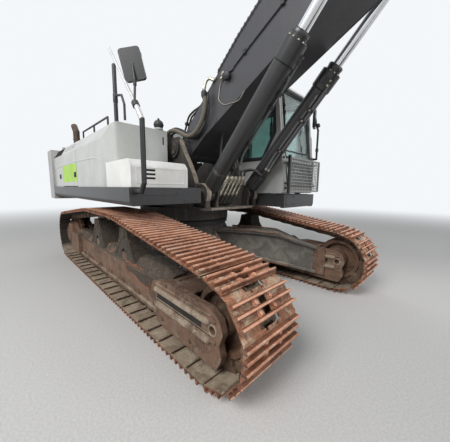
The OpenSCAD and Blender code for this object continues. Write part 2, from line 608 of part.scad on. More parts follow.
// Fuel tank with chamfered outer edges
module fuel_tank() color([0.76, 0.75, 0.71]) set() right() difference() {
  inner = centre_w + 60;
  union() {
    intersection() {
      translate([-tank_back, 0, 0]) rotate([90, 0, 90]) linear_extrude(tank_front + tank_back)
        polygon(rounded([[inner, deck_right_z, 0], [house_w, deck_right_z, 0], [house_w, 2060, 60],
          [house_w - 95, 2230, 60], [house_w - 150, roof_z, 30], [inner, roof_z, 20]]));
      linear_extrude(4000) polygon(rounded([[-tank_back - 1, inner - 1, 0], [tank_front, inner - 1, 0],
        [tank_front, house_w - 140, 60], [tank_front - 120, house_w + 1, 60], [-tank_back - 1, house_w + 1, 0]]));
    }
    translate([tank_front - 90, 690, roof_z - 1]) cylinder(r = 58, h = 40);
    translate([tank_front - 90, 690, roof_z + 38]) cylinder(r1 = 54, r2 = 40, h = 50);
  }
  box([-tank_back + sheet, inner + sheet, deck_right_z + sheet], [tank_front - 150, house_w - 130, roof_z - 60]);
  box([tank_front - 8, inner + 55, 2060], [tank_front + 1, inner + 75, 2170]);
}

// Tool box in front of the tank, with a lid hinged at its rear edge
box_in = 770;
box_back = tank_front + 6;
lid_h = 60;
function box_front_line(top) = [[box_back, deck_right_z, 0], [box_front, deck_right_z, 0],
  [box_front, top - 70, 40], [box_front - 60, top, 60], [box_back, top, 0]];
module toolbox() color([0.85, 0.85, 0.83]) set() right() {
  top = deck_right_z + box_h;
  difference() {
    slab(box_in, house_w) polygon(rounded(box_front_line(top)));
    slab(box_in + sheet, house_w - sheet)
      polygon([[box_back + sheet, deck_right_z + sheet], [box_front - sheet, deck_right_z + sheet],
        [box_front - sheet, top + 1], [box_back + sheet, top + 1]]);
    box([box_back - 1, box_in - 1, top - lid_h], [box_front + 1, house_w + 1, top + 1]);
    for (i = [0:2]) box([box_front - 12, house_w - 270, deck_right_z + 85 + 42 * i],
      [box_front + 1, house_w - 150, deck_right_z + 107 + 42 * i]);
  }
}
module toolbox_lid() color([0.85, 0.85, 0.83]) set() right() {
  top = deck_right_z + box_h;
  difference() {
    slab(box_in, house_w) polygon(rounded(box_front_line(top)));
    box([box_back - 1, box_in - 1, deck_right_z - 1], [box_front + 1, house_w + 1, top - lid_h + seat]);
    box([box_back + sheet, box_in + sheet, top - lid_h], [box_front - 90, house_w - sheet, top - 20]);
  }
}

module handrails() color([0.13, 0.13, 0.13]) set() {
  pipe([[300, -1250, roof_z], [300, -1250, 2960]], 25);
  translate([300, -1250, 2960]) sphere(r = 25, $fn = 32);
  pipe([[288, -1250, 2548], [350, -1250, 2600], [500, -1250, 2560], [570, -1250, 2440], [570, -1250, roof_z]], 14);
  // Low rails along both sides of the engine hood
  for (s = [-1, 1]) {
    pipe([[-2600, s * 920, roof_z], [-2600, s * 920, 2680], [-1000, s * 920, 2680], [-1000, s * 920, roof_z]], 17);
    pipe([[-1800, s * 920, roof_z], [-1800, s * 920, 2680]], 17);
  }
}

// Mirror head: a rounded plate that faces along its azimuth
module mirror_head(at, azimuth, roll) translate(at) rotate([roll, 0, azimuth]) translate([-16, 0, 0])
  rotate([90, 0, 90]) linear_extrude(36)
    polygon(rounded([[-100, -145, 30], [100, -145, 30], [100, 145, 30], [-100, 145, 30]]));
module mirrors() color([0.14, 0.14, 0.15]) set() {
  right() {
    pipe([[deck_right_front + 1.4, 1430, 1412], [1340, 1430, 1418], [1400, 1430, 1500], [1400, 1430, 2070],
      [1260, 1430, 2260]], 24);
    pipe([[1270, 1430, 2246], [930, 1430, 2640], [670, 1430, 2950]], 13);
    pipe([[1260, 1430, 2250], [1262, 1420, 2440], [1222, 1420, 2600]], 11);
    mirror_head([1210, 1415, 2600], -142, 13);
  }
  pipe([[mirror_seat + seat, cab_out - 30, 1960], [1740, cab_out - 30, 1960], [1740, cab_out - 30, 2420],
    [1700, 1400, 2560]], 16);
  mirror_head([1690, 1385, 2600], -160, 0);
}

// Front of the clamp on the cab that carries the left mirror
mirror_seat = 1680;

// Cab: side outline in X-Z as [x, z, corner radius], with a raked front
cab_front_low = 1700;
cab_front_high = 1545;
cab_low = deck_left_z + 20;
cab_side = [[-cab_back, cab_low, 0], [cab_front_low - 20, cab_low, 30], [cab_front_low, 1500, 60],
  [cab_front_high, 2880, 60], [cab_front_high - 140, cab_roof - 20, 120], [600, cab_roof, 300], [40, cab_roof, 100],
  [-cab_back, cab_roof - 110, 80]];
// Right window: its front lower corner follows the raked pillar
right_window = [[80, 1930, 60], [1300, 1930, 60], [1500, 2280, 60], [1450, 2860, 80], [80, 2860, 60]];
door_line = [[240, cab_low + 40, 60], [1250, cab_low + 40, 60], [1440, 2000, 100], [1400, 2900, 80],
  [240, 2900, 60]];
front_glass_low = 1930;
// Door hinge: its axis outside the wall, and the lower ends of its two knuckles
hinge_y = cab_out + 14;
hinge_z = [1560, 2700];
hinge_h = 110;
cab_gap = 9;
module cab_inside() slab(cab_in + cab_t, cab_out - cab_t) polygon(rounded(inset(cab_side, cab_t)));
module cab_shell() color([0.77, 0.76, 0.72]) set() {
  difference() {
    slab(cab_in, cab_out) polygon(rounded(cab_side));
    cab_inside();
    slab(cab_in - 1, cab_in + cab_t + 1) polygon(rounded(right_window));
    slab(cab_out - cab_t - 1, cab_out + 1) polygon(rounded(inset(door_line, -cab_gap)));
    // Windscreen above and below the front rail, rear window
    box([1400, cab_in + 90, front_glass_low], [1750, cab_out - 90, 2900]);
    box([1500, cab_in + 90, 1520], [1750, cab_out - 90, front_glass_low - 90]);
    box([-cab_back - 1, cab_in + 110, 2330], [-cab_back + cab_t + 1, cab_out - 110, 2880]);
  }
  box([1600, cab_out - 60, 1930], [mirror_seat, cab_out - 5, 1990]);
  // Hinge lugs of the door, each with its pin pointing at the middle of the door
  for (i = [0:1]) let(z = hinge_z[i] + (i == 0 ? hinge_h : -20)) {
    box([200, cab_out - 1, z], [232, hinge_y + 12, z + 20]);
    box([231, hinge_y - 12, z], [door_line[0].x, hinge_y + 12, z + 20]);
    translate([door_line[0].x, hinge_y, z]) cylinder(r = 12, h = 20);
    translate([door_line[0].x, hinge_y, hinge_z[i] - 10]) cylinder(r = 6, h = hinge_h + 20);
  }
  // Rubber mounts between cab and deck
  for (x = [20, 1480], y = [cab_in + 120, cab_out - 120]) translate([x, y, deck_left_z]) cylinder(r = 50, h = 21);
}
module cab_door() color([0.77, 0.76, 0.72]) set() {
  difference() {
    slab(cab_out - cab_t + 4, cab_out) polygon(rounded(door_line));
    slab(cab_out - cab_t, cab_out + 1) polygon(rounded([[320, 1960, 50], [1330, 1960, 60], [1375, 2100, 60],
      [1340, 2830, 60], [320, 2830, 50]]));
    slab(cab_out - cab_t, cab_out + 1) polygon(rounded([[320, 1560, 40], [1150, 1560, 60], [1310, 1880, 60],
      [320, 1880, 40]]));
  }
  bar([1330, 1920], 16, cab_out - 1, cab_out + 22);
  for (z = hinge_z) difference() {
    union() {
      translate([door_line[0].x, hinge_y, z]) cylinder(r = 12, h = hinge_h - 0.5);
      box([door_line[0].x, cab_out - 1, z], [door_line[0].x + 60, cab_out + 7, z + hinge_h - 0.5]);
    }
    translate([door_line[0].x, hinge_y, z - 1]) cylinder(r = 6 + run, h = hinge_h + 2);
  }
}
module cab_glass() color([0.2, 0.4, 0.4]) set() {
  glass = 6;
  slab(cab_in + 20, cab_in + 20 + glass) polygon(rounded(inset(right_window, seat)));
  rake = atan2(cab_front_low - cab_front_high, 2880 - 1500);
  intersection() {
    union() {
      box([1300, cab_in + 90 + seat, front_glass_low + seat], [1800, cab_out - 90 - seat, 2900 - seat]);
      box([1300, cab_in + 90 + seat, 1520 + seat], [1800, cab_out - 90 - seat, front_glass_low - 90 - seat]);
    }
    translate([cab_front_low - 25, 0, 1500]) rotate([0, -rake, 0]) box([-glass, 0, -100], [0, cab_out, 1600]);
  }
  box([-cab_back + 20, cab_in + 110 + seat, 2330 + seat], [-cab_back + 20 + glass, cab_out - 110 - seat, 2880 - seat]);
}
// Guard cage over the lower windscreen, clear of the boom cylinder beside it
guard_x = 1785;
guard_y = [cyl_y + barrel_r + 24, 1480];
guard_z = [1430, 1900];
module cab_guard() color([0.5, 0.5, 0.48]) set() {
  x0 = guard_x;
  wire = 5;
  for (z = guard_z) box([x0 - 24, guard_y[0], z - 12], [x0, guard_y[1], z + 12]);
  for (y = [guard_y[0], 1230, guard_y[1] - 24]) box([x0 - 24, y, guard_z[0]], [x0, y + 24, guard_z[1]]);
  for (i = [1:9]) let(z = guard_z[0] + i * 47)
    box([x0 - 12, guard_y[0] + 10, z - wire], [x0 - 4, guard_y[1] - 10, z + wire]);
  for (i = [1:18]) let(y = guard_y[0] + i * 50)
    box([x0 - 12, y - wire, guard_z[0] + 5], [x0 - 4, y + wire, guard_z[1] - 5]);
  // Stays back to the cab's front pillars
  difference() {
    for (y = [cab_in + 30, cab_out - 130], z = [1500, 1830]) box([1600, y, z], [x0 - 10, y + 30, z + 20]);
    slab(cab_in - 1, cab_out + 1) polygon(rounded(inset(cab_side, -seat)));
  }
}
module operator_seat() color([0.12, 0.12, 0.13]) set() translate([560, (cab_in + cab_out) / 2, deck_left_z + 70 + seat]) {
  box([-200, -200, 0], [200, 200, 330]);
  slab(-250, 250) polygon(rounded([[-240, 329, 30], [260, 329, 50], [270, 450, 50], [-120, 440, 0], [-230, 1020, 60],
    [-340, 1020, 50], [-330, 400, 40]]));
  slab(-130, 130) polygon(rounded([[-240, 1019, 30], [-180, 1240, 40], [-290, 1240, 40], [-330, 1019, 30]]));
}
module cab_controls() color([0.1, 0.1, 0.11]) set() translate([560, (cab_in + cab_out) / 2, deck_left_z + 70 + seat]) {
  for (y = [-330, 270]) {
    box([-180, y, 0], [260, y + 60, 520]);
    tube([230, y + 30, 500], [260, y + 30, 700], 18);
    translate([262, y + 30, 710]) sphere(r = 32, $fn = 32);
  }
  for (y = [-70, 70]) tube([640, y, 20], [770, y, 420], 14);
  box([600, -160, 0], [720, 160, 40]);
  tube([850, -330, 0], [850, -330, 800], 16);
  box([820, -410, 790], [860, -240, 990]);
}

// Boom in its own frame: foot pin at the origin, nose pin on X
boom_line = [[-30, -158, 120], [470, 38, 900], [3000, 676, 900], [6800, -196, 120], [7120, -160, 120],
  [7120, 170, 120], [6900, 225, 200], [3400, 1628, 800], [1306, 857, 900], [200, 345, 120], [-120, 120, 60]];
fork = 640;
module boom() color([0.2, 0.2, 0.21]) set() in_boom_frame() {
  difference() {
    union() {
      slab(-boom_w, boom_w) polygon(rounded(boom_line));
      bar([0, 0], 150, -bracket_y + 8, bracket_y - 8);
      pair() {
        bar(boom_eye, 130, boom_w - 1, boom_w + 48);
        bar([boom_len, 0], 185, boom_w - 90, boom_w + 30);
        slab(115, 150) polygon(rounded([[3350, 1560, 0], [4150, 1250, 0], [3930, 1690, 90], [3760, 1830, 90],
          [3620, 1790, 90]]));
        bar(arm_foot_local, 95, 115, 170);
      }
    }
    bar([0, 0], 60 + run, -600, 600);
    slab(box_t - boom_w, boom_w - box_t) polygon([[330, 60], [1000, 208], [2980, 712], [6240, -20], [6240, 446],
      [3560, 1516], [3260, 1520], [1330, 810], [330, 350]]);
    // Fork that takes the arm between the nose plates
    slab(-arm_w - 5, arm_w + 5) polygon([[boom_len - fork, -1000], [boom_len + 400, -1000], [boom_len + 400, 1000],
      [boom_len - fork, 1000]]);
    bar(arm_foot_local, 50 + run, -200, 200);
  }
  bar([boom_len, 0], 60, -boom_w - 34, boom_w + 34);
}
// Cylinder parts along X: a barrel from its foot eye, and a rod that ends in its eye
module barrel(r, eye_r, eye_w, length, head, neck) {
  difference() {
    union() {
      bar([0, 0], eye_r, -eye_w, eye_w);
      box([0, -eye_w, -0.8 * r], [neck + 1, eye_w, 0.8 * r]);
      translate([neck, 0, 0]) rotate([0, 90, 0]) cylinder(r = r, h = length - neck);
      translate([length - head, 0, 0]) rotate([0, 90, 0]) cylinder(r = r + 12, h = head);
      translate([length - 1, 0, 0]) rotate([0, 90, 0]) cylinder(r = r * 0.82, h = 45);
    }
    children();
  }
}
module rod(r, eye_r, eye_w, back) {
  bar([0, 0], eye_r, -eye_w, eye_w);
  translate([-back, 0, 0]) rotate([0, 90, 0]) cylinder(r = r, h = back - eye_r + 30);
}
eye_half = 42;
boom_barrel_len = 1860;
module boom_barrels() color([0.2, 0.2, 0.21]) set() pair() translate([0, cyl_y, 0]) aim(cyl, rod_eye - cyl)
  barrel(barrel_r, 110, eye_half, boom_barrel_len, 190, boss_r + 14) {
    bar([0, 0], 50 + run, -200, 200);
    translate([340, 0, 0]) rotate([0, 90, 0]) cylinder(r = rod_r + run, h = boom_barrel_len);
  };
module boom_rods() color([0.75, 0.76, 0.78]) set() pair() translate([0, cyl_y, 0]) aim(rod_eye, rod_eye - cyl)
  rod(rod_r, 105, 58, norm(rod_eye - cyl) - boom_barrel_len + 700);

// Arm in its own frame: nose pin at the origin, bucket pin on X, +Z to the outer side
arm_line = [[-980, 230, 60], [-500, -10, 400], [-180, -235, 200], [800, -240, 300], [arm_len - 40, -128, 90],
  [arm_len + 130, -60, 60], [arm_len + 130, 60, 60], [arm_len - 40, 110, 90], [arm_len - 700, 132, 300], [700, 330, 200], [430, 450, 120],
  [-100, 470, 150], [-800, 505, 100], [-1020, 420, 80]];
module arm() color([0.2, 0.2, 0.21]) set() in_arm_frame() difference() {
  union() {
    slab(-arm_w, arm_w) polygon(rounded(arm_line));
    bar(tail_local, tail_boss, -arm_w, arm_w);
    pair() slab(112, 146) polygon(rounded([[20, 440, 0], [520, 400, 0], [350, 650, 80], [250, 740, 80], [150, 650, 80]]));
    bar([0, 0], 150, -arm_w, arm_w);
  }
  slab(box_t - arm_w, arm_w - box_t) polygon([[-380, 60], [-120, -60], [-120, -205], [750, -215], [2100, -130],
    [2100, 100], [660, 290], [400, 400], [-380, 400]]);
  // Pocket for the arm cylinder's rod eye
  slab(-110, 110) polygon([[-1200, -200], [-470, -200], [-470, 700], [-1200, 700]]);
  bar([0, 0], 60 + run, -400, 400);
  bar([arm_len, 0], 50 + run, -400, 400);
  bar(rocker_local, 45 + run, -400, 400);
  bar(bucket_foot_local, 45 + run, -400, 400);
}
arm_barrel_len = 2420;
module arm_barrel() color([0.2, 0.2, 0.21]) set() aim(arm_foot, arm_tail - arm_foot) {
  barrel(108, 105, 100, arm_barrel_len, 200, 130) {
    translate([500, 0, 0]) rotate([0, 90, 0]) cylinder(r = 60 + run, h = arm_barrel_len);
  }
  bar([0, 0], 50, -180, 180);
}
module arm_rod() color([0.75, 0.76, 0.78]) set() aim(arm_tail, arm_tail - arm_foot)
  rod(60, 100, 70, norm(arm_tail - arm_foot) - arm_barrel_len + 300);
bucket_barrel_len = 1490;
module bucket_barrel() color([0.2, 0.2, 0.21]) set() aim(bucket_foot, rocker_eye - bucket_foot) {
  barrel(92, 90, 92, bucket_barrel_len, 160, 110) {
    translate([300, 0, 0]) rotate([0, 90, 0]) cylinder(r = 52 + run, h = bucket_barrel_len);
  }
  bar([0, 0], 45, -165, 165);
}
module bucket_rod() color([0.75, 0.76, 0.78]) set() aim(rocker_eye, rocker_eye - bucket_foot)
  rod(52, 85, 60, norm(rocker_eye - bucket_foot) - bucket_barrel_len + 300);

// Rocker: two plates outside the arm, joined by the pin that they hang on
module rocker() color([0.22, 0.22, 0.22]) set() {
  v = rocker_eye - rocker_pin;
  pair() aim(rocker_pin, v) difference() {
    slab(arm_w + 20, arm_w + 60) union() {
      circle(r = 95);
      polygon([[0, -90], [rocker_len, -75], [rocker_len, 75], [0, 90]]);
      translate([rocker_len, 0]) circle(r = 85);
    }
    bar([rocker_len, 0], 45, arm_w, arm_w + 100);
  }
  bar(rocker_pin, 45, -arm_w - 70, arm_w + 70);
}
// Link: a fork at its upper end round the rod eye, a wide eye on the bucket
module link() color([0.22, 0.22, 0.22]) set() {
  v = rocker_eye - link_pin;
  aim(link_pin, v) difference() {
    union() {
      slab(-arm_w + 5, arm_w - 5) polygon([[0, -90], [190, -50], [190, 50], [0, 90]]);
      bar([0, 0], 90, -arm_w + 5, arm_w - 5);
      pair() slab(78, arm_w - 5) union() {
        polygon([[180, -50], [450, -42], [link_len, -70], [link_len, 70], [450, 42], [180, 50]]);
        translate([link_len, 0]) circle(r = 70);
      }
    }
    bar([0, 0], 45 + run, -400, 400);
  }
}

// Bucket in its own frame: bucket pin at the origin, tooth tips on X, +Z towards the link pin
module bucket() color([0.26, 0.24, 0.22]) set() translate([tip.x, 0, tip.y]) {
  // Outline in the resting position as [x, z, corner radius]: lip, floor, back and top
  floor_z = bucket_gap - bucket_pin_z;
  shell = [[-1050, floor_z + 30, 0], [-1000, floor_z + 4, 0], [-250, floor_z, 500], [520, floor_z + 120, 480],
    [430, -560, 200], [180, -290, 150], [-330, -160, 0], [-360, -215, 0]];
  plate = 35;
  half = bucket_w / 2;
  difference() {
    slab(-half, half) polygon(rounded(shell));
    slab(-half + plate, half - plate)
      polygon(rounded([[-1200, floor_z + 75, 0], [-250, floor_z + 48, 460], [470, floor_z + 160, 440],
        [385, -590, 170], [150, -345, 120], [-340, -215, 0], [-1200, -215, 0]]));
  }
  // Ears for the bucket pin and the link pin
  pair() difference() {
    slab(arm_w + 12, arm_w + 57) union() {
      circle(r = 110);
      translate(link_pin - tip) circle(r = 105);
      polygon([[-100, -40], [-200, -215], [190, -330], [430, -480], (link_pin - tip) + [100, -30],
        (link_pin - tip) + [40, 96], [60, 92]]);
    }
  }
  bar([0, 0], 50, -arm_w - 75, arm_w + 75);
  bar(link_pin - tip, 45, -arm_w - 70, arm_w + 70);
  // Teeth on the lip, and the wear strips under the heel
  teeth = 5;
  for (i = [0:teeth - 1]) let(y = -half + 75 + i * (bucket_w - 150) / (teeth - 1))
    slab(y - 55, y + 55) polygon([[-bucket_tip_r * cos(bucket_turn + 180), floor_z + 2], [-1000, floor_z + 1],
      [-960, floor_z + 80], [-1060, floor_z + 95]]);
}

// Hoses from the platform up to the boom, behind the right boom cylinder
hose_r = 19;
hose_line = [[60, 2330], [160, 2330], [350, 2270], [560, 2230], [840, 2300], [990, 2470], [1010, 2690], [960, 2790]];
module boom_hoses() color([0.1, 0.1, 0.1]) set() for (y = [-380, -330])
  pipe([for (p = hose_line) [p.x, y, p.y]], hose_r, $fn = 16);

center_frame();
swing_bearing();
track_frame_right();
track_frame_left();
track_right();
track_left();
idler_right();
idler_left();
sprocket_right();
sprocket_left();
rollers_right();
rollers_left();
swing_frame();
deck_right();
deck_left();
counterweight();
engine_block();
fuel_tank();
toolbox();
toolbox_lid();
house_panels();
pump_door();
radiator_door();
engine_hood();
exhaust_pipe();
handrails();
mirrors();
cab_shell();
cab_door();
cab_glass();
cab_guard();
operator_seat();
cab_controls();
boom();
boom_barrels();
boom_rods();
arm();
arm_barrel();
arm_rod();
bucket_barrel();
bucket_rod();
rocker();
link();
bucket();
boom_hoses();
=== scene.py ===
"""Looks of the crawler excavator: finishes, shoes, hoses, bolts, cab fittings and a plain studio.

Lengths are in metres. X points forward, Y to the machine's left and Z up. Places along X are counted from
the swing axis, as the part's source does, and Mesh.build moves them by SWING_X into the row frame.
"""

import json
from math import asin, atan2, cos, hypot, pi, radians, sin, sqrt

import bmesh
import bpy
import numpy as np
from mathutils import Matrix, Vector


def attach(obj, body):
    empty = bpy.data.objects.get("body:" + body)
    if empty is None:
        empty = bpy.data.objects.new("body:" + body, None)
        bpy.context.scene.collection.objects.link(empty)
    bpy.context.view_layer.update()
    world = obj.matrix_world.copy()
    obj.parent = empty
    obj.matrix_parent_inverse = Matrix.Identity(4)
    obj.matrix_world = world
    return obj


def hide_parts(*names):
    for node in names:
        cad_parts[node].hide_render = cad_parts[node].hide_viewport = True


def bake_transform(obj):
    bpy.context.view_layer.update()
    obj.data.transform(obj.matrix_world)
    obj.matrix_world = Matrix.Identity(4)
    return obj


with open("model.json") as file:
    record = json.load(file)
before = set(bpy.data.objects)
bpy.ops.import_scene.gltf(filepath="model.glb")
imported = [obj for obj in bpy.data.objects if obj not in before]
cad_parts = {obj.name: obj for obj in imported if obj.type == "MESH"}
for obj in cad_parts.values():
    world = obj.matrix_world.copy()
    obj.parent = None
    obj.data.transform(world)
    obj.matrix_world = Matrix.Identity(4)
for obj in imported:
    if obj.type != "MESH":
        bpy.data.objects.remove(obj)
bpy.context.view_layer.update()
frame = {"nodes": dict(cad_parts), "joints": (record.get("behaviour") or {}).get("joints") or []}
PINS = {j["name"]: np.array(j["pos_m"]) for j in frame["joints"] if "pos_m" in j}
AXES = {j["name"]: np.array(j["axis"], float) for j in frame["joints"]}
SWING_X = PINS["swing"][0]
UP = np.array((0.0, 0.0, 1.0))

# Camera, fitted to the photograph of 450 by 442 pixels
PHOTO_W = 450
FOCAL_PX = 231.5
CAMERA_AT = (3.513, -2.434, 1.454)
CAMERA_YAW = 45.48
CAMERA_PITCH = -7.92
CAMERA_ROLL = 0.69


def place_camera():
    """Camera at its place: forward = (-sin yaw cos pitch, cos yaw cos pitch, sin pitch), then rolled."""
    yaw, pitch, roll = radians(CAMERA_YAW), radians(CAMERA_PITCH), radians(CAMERA_ROLL)
    forward = Vector((-sin(yaw) * cos(pitch), cos(yaw) * cos(pitch), sin(pitch)))
    side = Vector((cos(yaw), sin(yaw), 0))
    up = side.cross(forward)
    side, up = side * cos(roll) + up * sin(roll), up * cos(roll) - side * sin(roll)
    data = bpy.data.cameras.new("camera")
    data.sensor_width = 36
    data.lens = FOCAL_PX / PHOTO_W * data.sensor_width
    data.clip_end = 200
    camera = bpy.data.objects.new("camera", data)
    bpy.context.scene.collection.objects.link(camera)
    turn = Matrix((side, up, -forward)).transposed().to_4x4()
    camera.matrix_world = Matrix.Translation(Vector(CAMERA_AT) + Vector((SWING_X, 0, 0))) @ turn
    bpy.context.scene.camera = camera


place_camera()


# Mesh code

POLE_R = 1e-4  # a turned form's pole is this wide, so that its ring stays a ring


def unit(v):
    """The vector over its own length."""
    v = np.asarray(v, float)
    return v / np.linalg.norm(v)


def frame_at(origin, x_axis, z_hint):
    """4x4 matrix whose X is x_axis and whose Z is as near z_hint as it can be."""
    x = unit(x_axis)
    y = unit(np.cross(z_hint, x))
    m = np.eye(4)
    m[:3, 0], m[:3, 1], m[:3, 2], m[:3, 3] = x, y, np.cross(x, y), origin
    return m


def steady_side(axis):
    """Z, or X where the axis is nearly upright."""
    return (0, 0, 1) if abs(unit(axis)[2]) < 0.9 else (1, 0, 0)


def shift(x=0.0, y=0.0, z=0.0):
    """4x4 matrix that moves by x, y and z."""
    m = np.eye(4)
    m[:3, 3] = x, y, z
    return m


def ring(r, n=24):
    """n points of a circle of radius r, anticlockwise: r (cos a, sin a)."""
    a = np.arange(n) * 2 * pi / n
    return np.stack([r * np.cos(a), r * np.sin(a)], 1)


def upright_loop(x, y, z, r, n):
    """Closed line of n points round (x, z) at y: (x + r cos a, y, z + r sin a)."""
    return [(x + r * cos(a), y, z + r * sin(a)) for a in np.linspace(0, 2 * pi, n)]


def smooth_line(points, per=6):
    """Catmull-Rom curve through the points, with per steps a stretch: a cubic that passes each point along
    half the step between its neighbours. Beyond the ends the neighbours are mirrored."""
    p = np.asarray(points, float)
    p = np.vstack([2 * p[0] - p[1], p, 2 * p[-1] - p[-2]])
    out = []
    for i in range(1, len(p) - 2):
        for t in np.arange(per) / per:
            a, b, c, d = p[i - 1 : i + 3]
            out.append(0.5 * (2 * b + (c - a) * t + (2 * a - 5 * b + 4 * c - d) * t**2
                              + (3 * b - a - 3 * c + d) * t**3))
    return np.array(out + [p[-2]])


class Mesh:
    """Vertices and faces gathered from simple solids, then built as one object that rides on a CAD body."""

    def __init__(self):
        self.points, self.faces, self.kinds, self.count = [], [], [], 0

    def add(self, points, faces, move=None, kind=0):
        """Takes points and faces in, moved by a 4x4 matrix where one is given."""
        points = np.asarray(points, float).reshape(-1, 3)
        if move is not None:
            points = points @ move[:3, :3].T + move[:3, 3]
        self.faces += [tuple(int(i) + self.count for i in f) for f in faces]
        self.kinds += [kind] * len(faces)
        self.points.append(points)
        self.count += len(points)
        return self

    def loft(self, rings, move=None, kind=0, caps=True):
        """Skin over rings of equal length, each point joined to the same point of the next ring."""
        n, k = len(rings[0]), len(rings)
        faces = [(i * n + j, i * n + (j + 1) % n, (i + 1) * n + (j + 1) % n, (i + 1) * n + j)
                 for i in range(k - 1) for j in range(n)]
        if caps:
            faces += [tuple(range(n - 1, -1, -1)), tuple(range((k - 1) * n, k * n))]
        return self.add(np.vstack(rings), faces, move, kind)

    def box(self, low, high, move=None, kind=0):
        """Block between two opposite corners, given in any order."""
        (a, b, c), (d, e, f) = np.minimum(low, high), np.maximum(low, high)
        q = [(a, b), (d, b), (d, e), (a, e)]
        return self.loft([[(x, y, c) for x, y in q], [(x, y, f) for x, y in q]], move, kind)

    def plate(self, outline, y0, y1, move=None, kind=0):
        """Outline of (x, z) points, anticlockwise seen from -Y, made solid between y0 and y1."""
        return self.loft([[(x, y, z) for x, z in outline] for y in (max(y0, y1), min(y0, y1))], move, kind)

    def rod(self, a, b, r, n=24, move=None, kind=0):
        """Round bar from a to b."""
        along = np.subtract(b, a)
        return self.turned(a, along, [(0, r), (float(np.linalg.norm(along)), r)], n, move, kind)

    def turned(self, centre, axis, profile, n=32, move=None, kind=0):
        """Solid of revolution about axis through centre, from (along, radius) pairs."""
        m = frame_at(centre, axis, steady_side(axis))
        m = m if move is None else move @ m
        return self.loft([[(s, y, z) for y, z in ring(max(r, POLE_R), n)] for s, r in profile], m, kind)

    def tube(self, points, r, n=12, move=None, kind=0, smooth=True, per=6):
        """Round tube along a line. Each ring's side is the one before without its part along the line, so
        that the rings don't twist."""
        line = smooth_line(points, per) if smooth else np.asarray(points, float)
        along = np.gradient(line, axis=0)
        side = unit(np.cross(along[0], steady_side(along[0])))
        rings = []
        for p, d in zip(line, along):
            d = unit(d)
            side = unit(side - d * (side @ d))
            other = np.cross(d, side)
            rings.append([p + side * a + other * b for a, b in ring(r, n)])
        return self.loft(rings, move, kind)

    def bolt(self, at, axis, r=0.012, h=0.010, move=None, kind=0):
        """Hexagon head with a washer under it."""
        self.turned(at, axis, [(0, r * 1.5), (h * 0.25, r * 1.5)], 16, move, kind)
        return self.turned(at, axis, [(h * 0.2, r), (h * 0.85, r), (h, r * 0.82)], 6, move, kind)

    def build(self, name, material, body, bevel=0.0, angle=35, slot=None, replaces=(), kinds=()):
        """One object with a bevel where asked and its body, unless a blend places it. The slot argument is
        not used.
        """
        data = bpy.data.meshes.new(name)
        points = np.vstack(self.points) + (SWING_X, 0, 0)
        data.from_pydata(points.tolist(), [], self.faces)
        for m in (material, *kinds):
            data.materials.append(m)
        data.polygons.foreach_set("material_index", self.kinds)
        data.polygons.foreach_set("use_smooth", [True] * len(self.faces))
        data.set_sharp_from_angle(angle=radians(angle))
        data.update()
        obj = bpy.data.objects.new(name, data)
        bpy.context.scene.collection.objects.link(obj)
        if bevel:
            soften(obj, bevel)
        if body:
            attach(obj, body)
        if replaces:
            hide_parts(*replaces)
        return obj


def weld(mesh, points, r, move=None):
    """Weld bead along a line."""
    mesh.tube(points, r, 6, move, smooth=False)


def soften(obj, width):
    """Rounds the sharp edges, so that they catch the light."""
    bevel = obj.modifiers.new("soften", "BEVEL")
    bevel.width, bevel.segments = width, 2
    bevel.limit_method, bevel.angle_limit = "ANGLE", radians(40)
    bevel.harden_normals = True


# Materials


class Nodes:
    """Short way to write a node tree: each call makes one node and returns its output."""

    def __init__(self, tree):
        self.tree = tree

    def join(self, value, socket):
        """Links an output to a socket, or sets a plain value there."""
        if isinstance(value, bpy.types.NodeSocket):
            self.tree.links.new(value, socket)
        else:
            socket.default_value = value

    def make(self, kind, inputs=(), **props):
        n = self.tree.nodes.new("ShaderNode" + kind)
        for name, value in props.items():
            setattr(n, name, value)
        for name, value in dict(inputs).items():
            self.join(value, n.inputs[name])
        return n

    def noise(self, vector, scale, detail=5.0, rough=0.6, warp=0.0):
        return self.make("TexNoise", {"Vector": vector, "Scale": scale, "Detail": detail,
                                      "Roughness": rough, "Distortion": warp}).outputs[0]

    def waves(self, vector, scale, warp, direction):
        return self.make("TexWave", {"Vector": vector, "Scale": scale, "Distortion": warp},
                         bands_direction=direction).outputs[1]

    def stretch(self, vector, scale):
        return self.make("Mapping", {"Vector": vector, "Scale": scale}).outputs[0]

    def axis(self, vector, i):
        return self.make("SeparateXYZ", {0: vector}).outputs[i]

    def ramp(self, value, low, high, to_low=0.0, to_high=1.0):
        """Smooth step: to_low where value is low, to_high where it is high."""
        return self.make("MapRange", {0: value, 1: low, 2: high, 3: to_low, 4: to_high},
                         interpolation_type="SMOOTHSTEP").outputs[0]

    def math(self, op, a, b, clamp=False):
        return self.make("Math", {0: a, 1: b}, operation=op, use_clamp=clamp).outputs[0]

    def times(self, a, b, clamp=False):
        return self.math("MULTIPLY", a, b, clamp)

    def plus(self, a, b, clamp=False):
        return self.math("ADD", a, b, clamp)

    def mix(self, share, a, b):
        n = self.make("Mix", data_type="RGBA")
        for slot, value in ((0, share), (6, a), (7, b)):
            self.join((*value, 1) if isinstance(value, tuple) else value, n.inputs[slot])
        return n.outputs[2]

    def bump(self, height, strength, distance):
        return self.make("Bump", {"Height": height, "Strength": strength, "Distance": distance}).outputs[0]


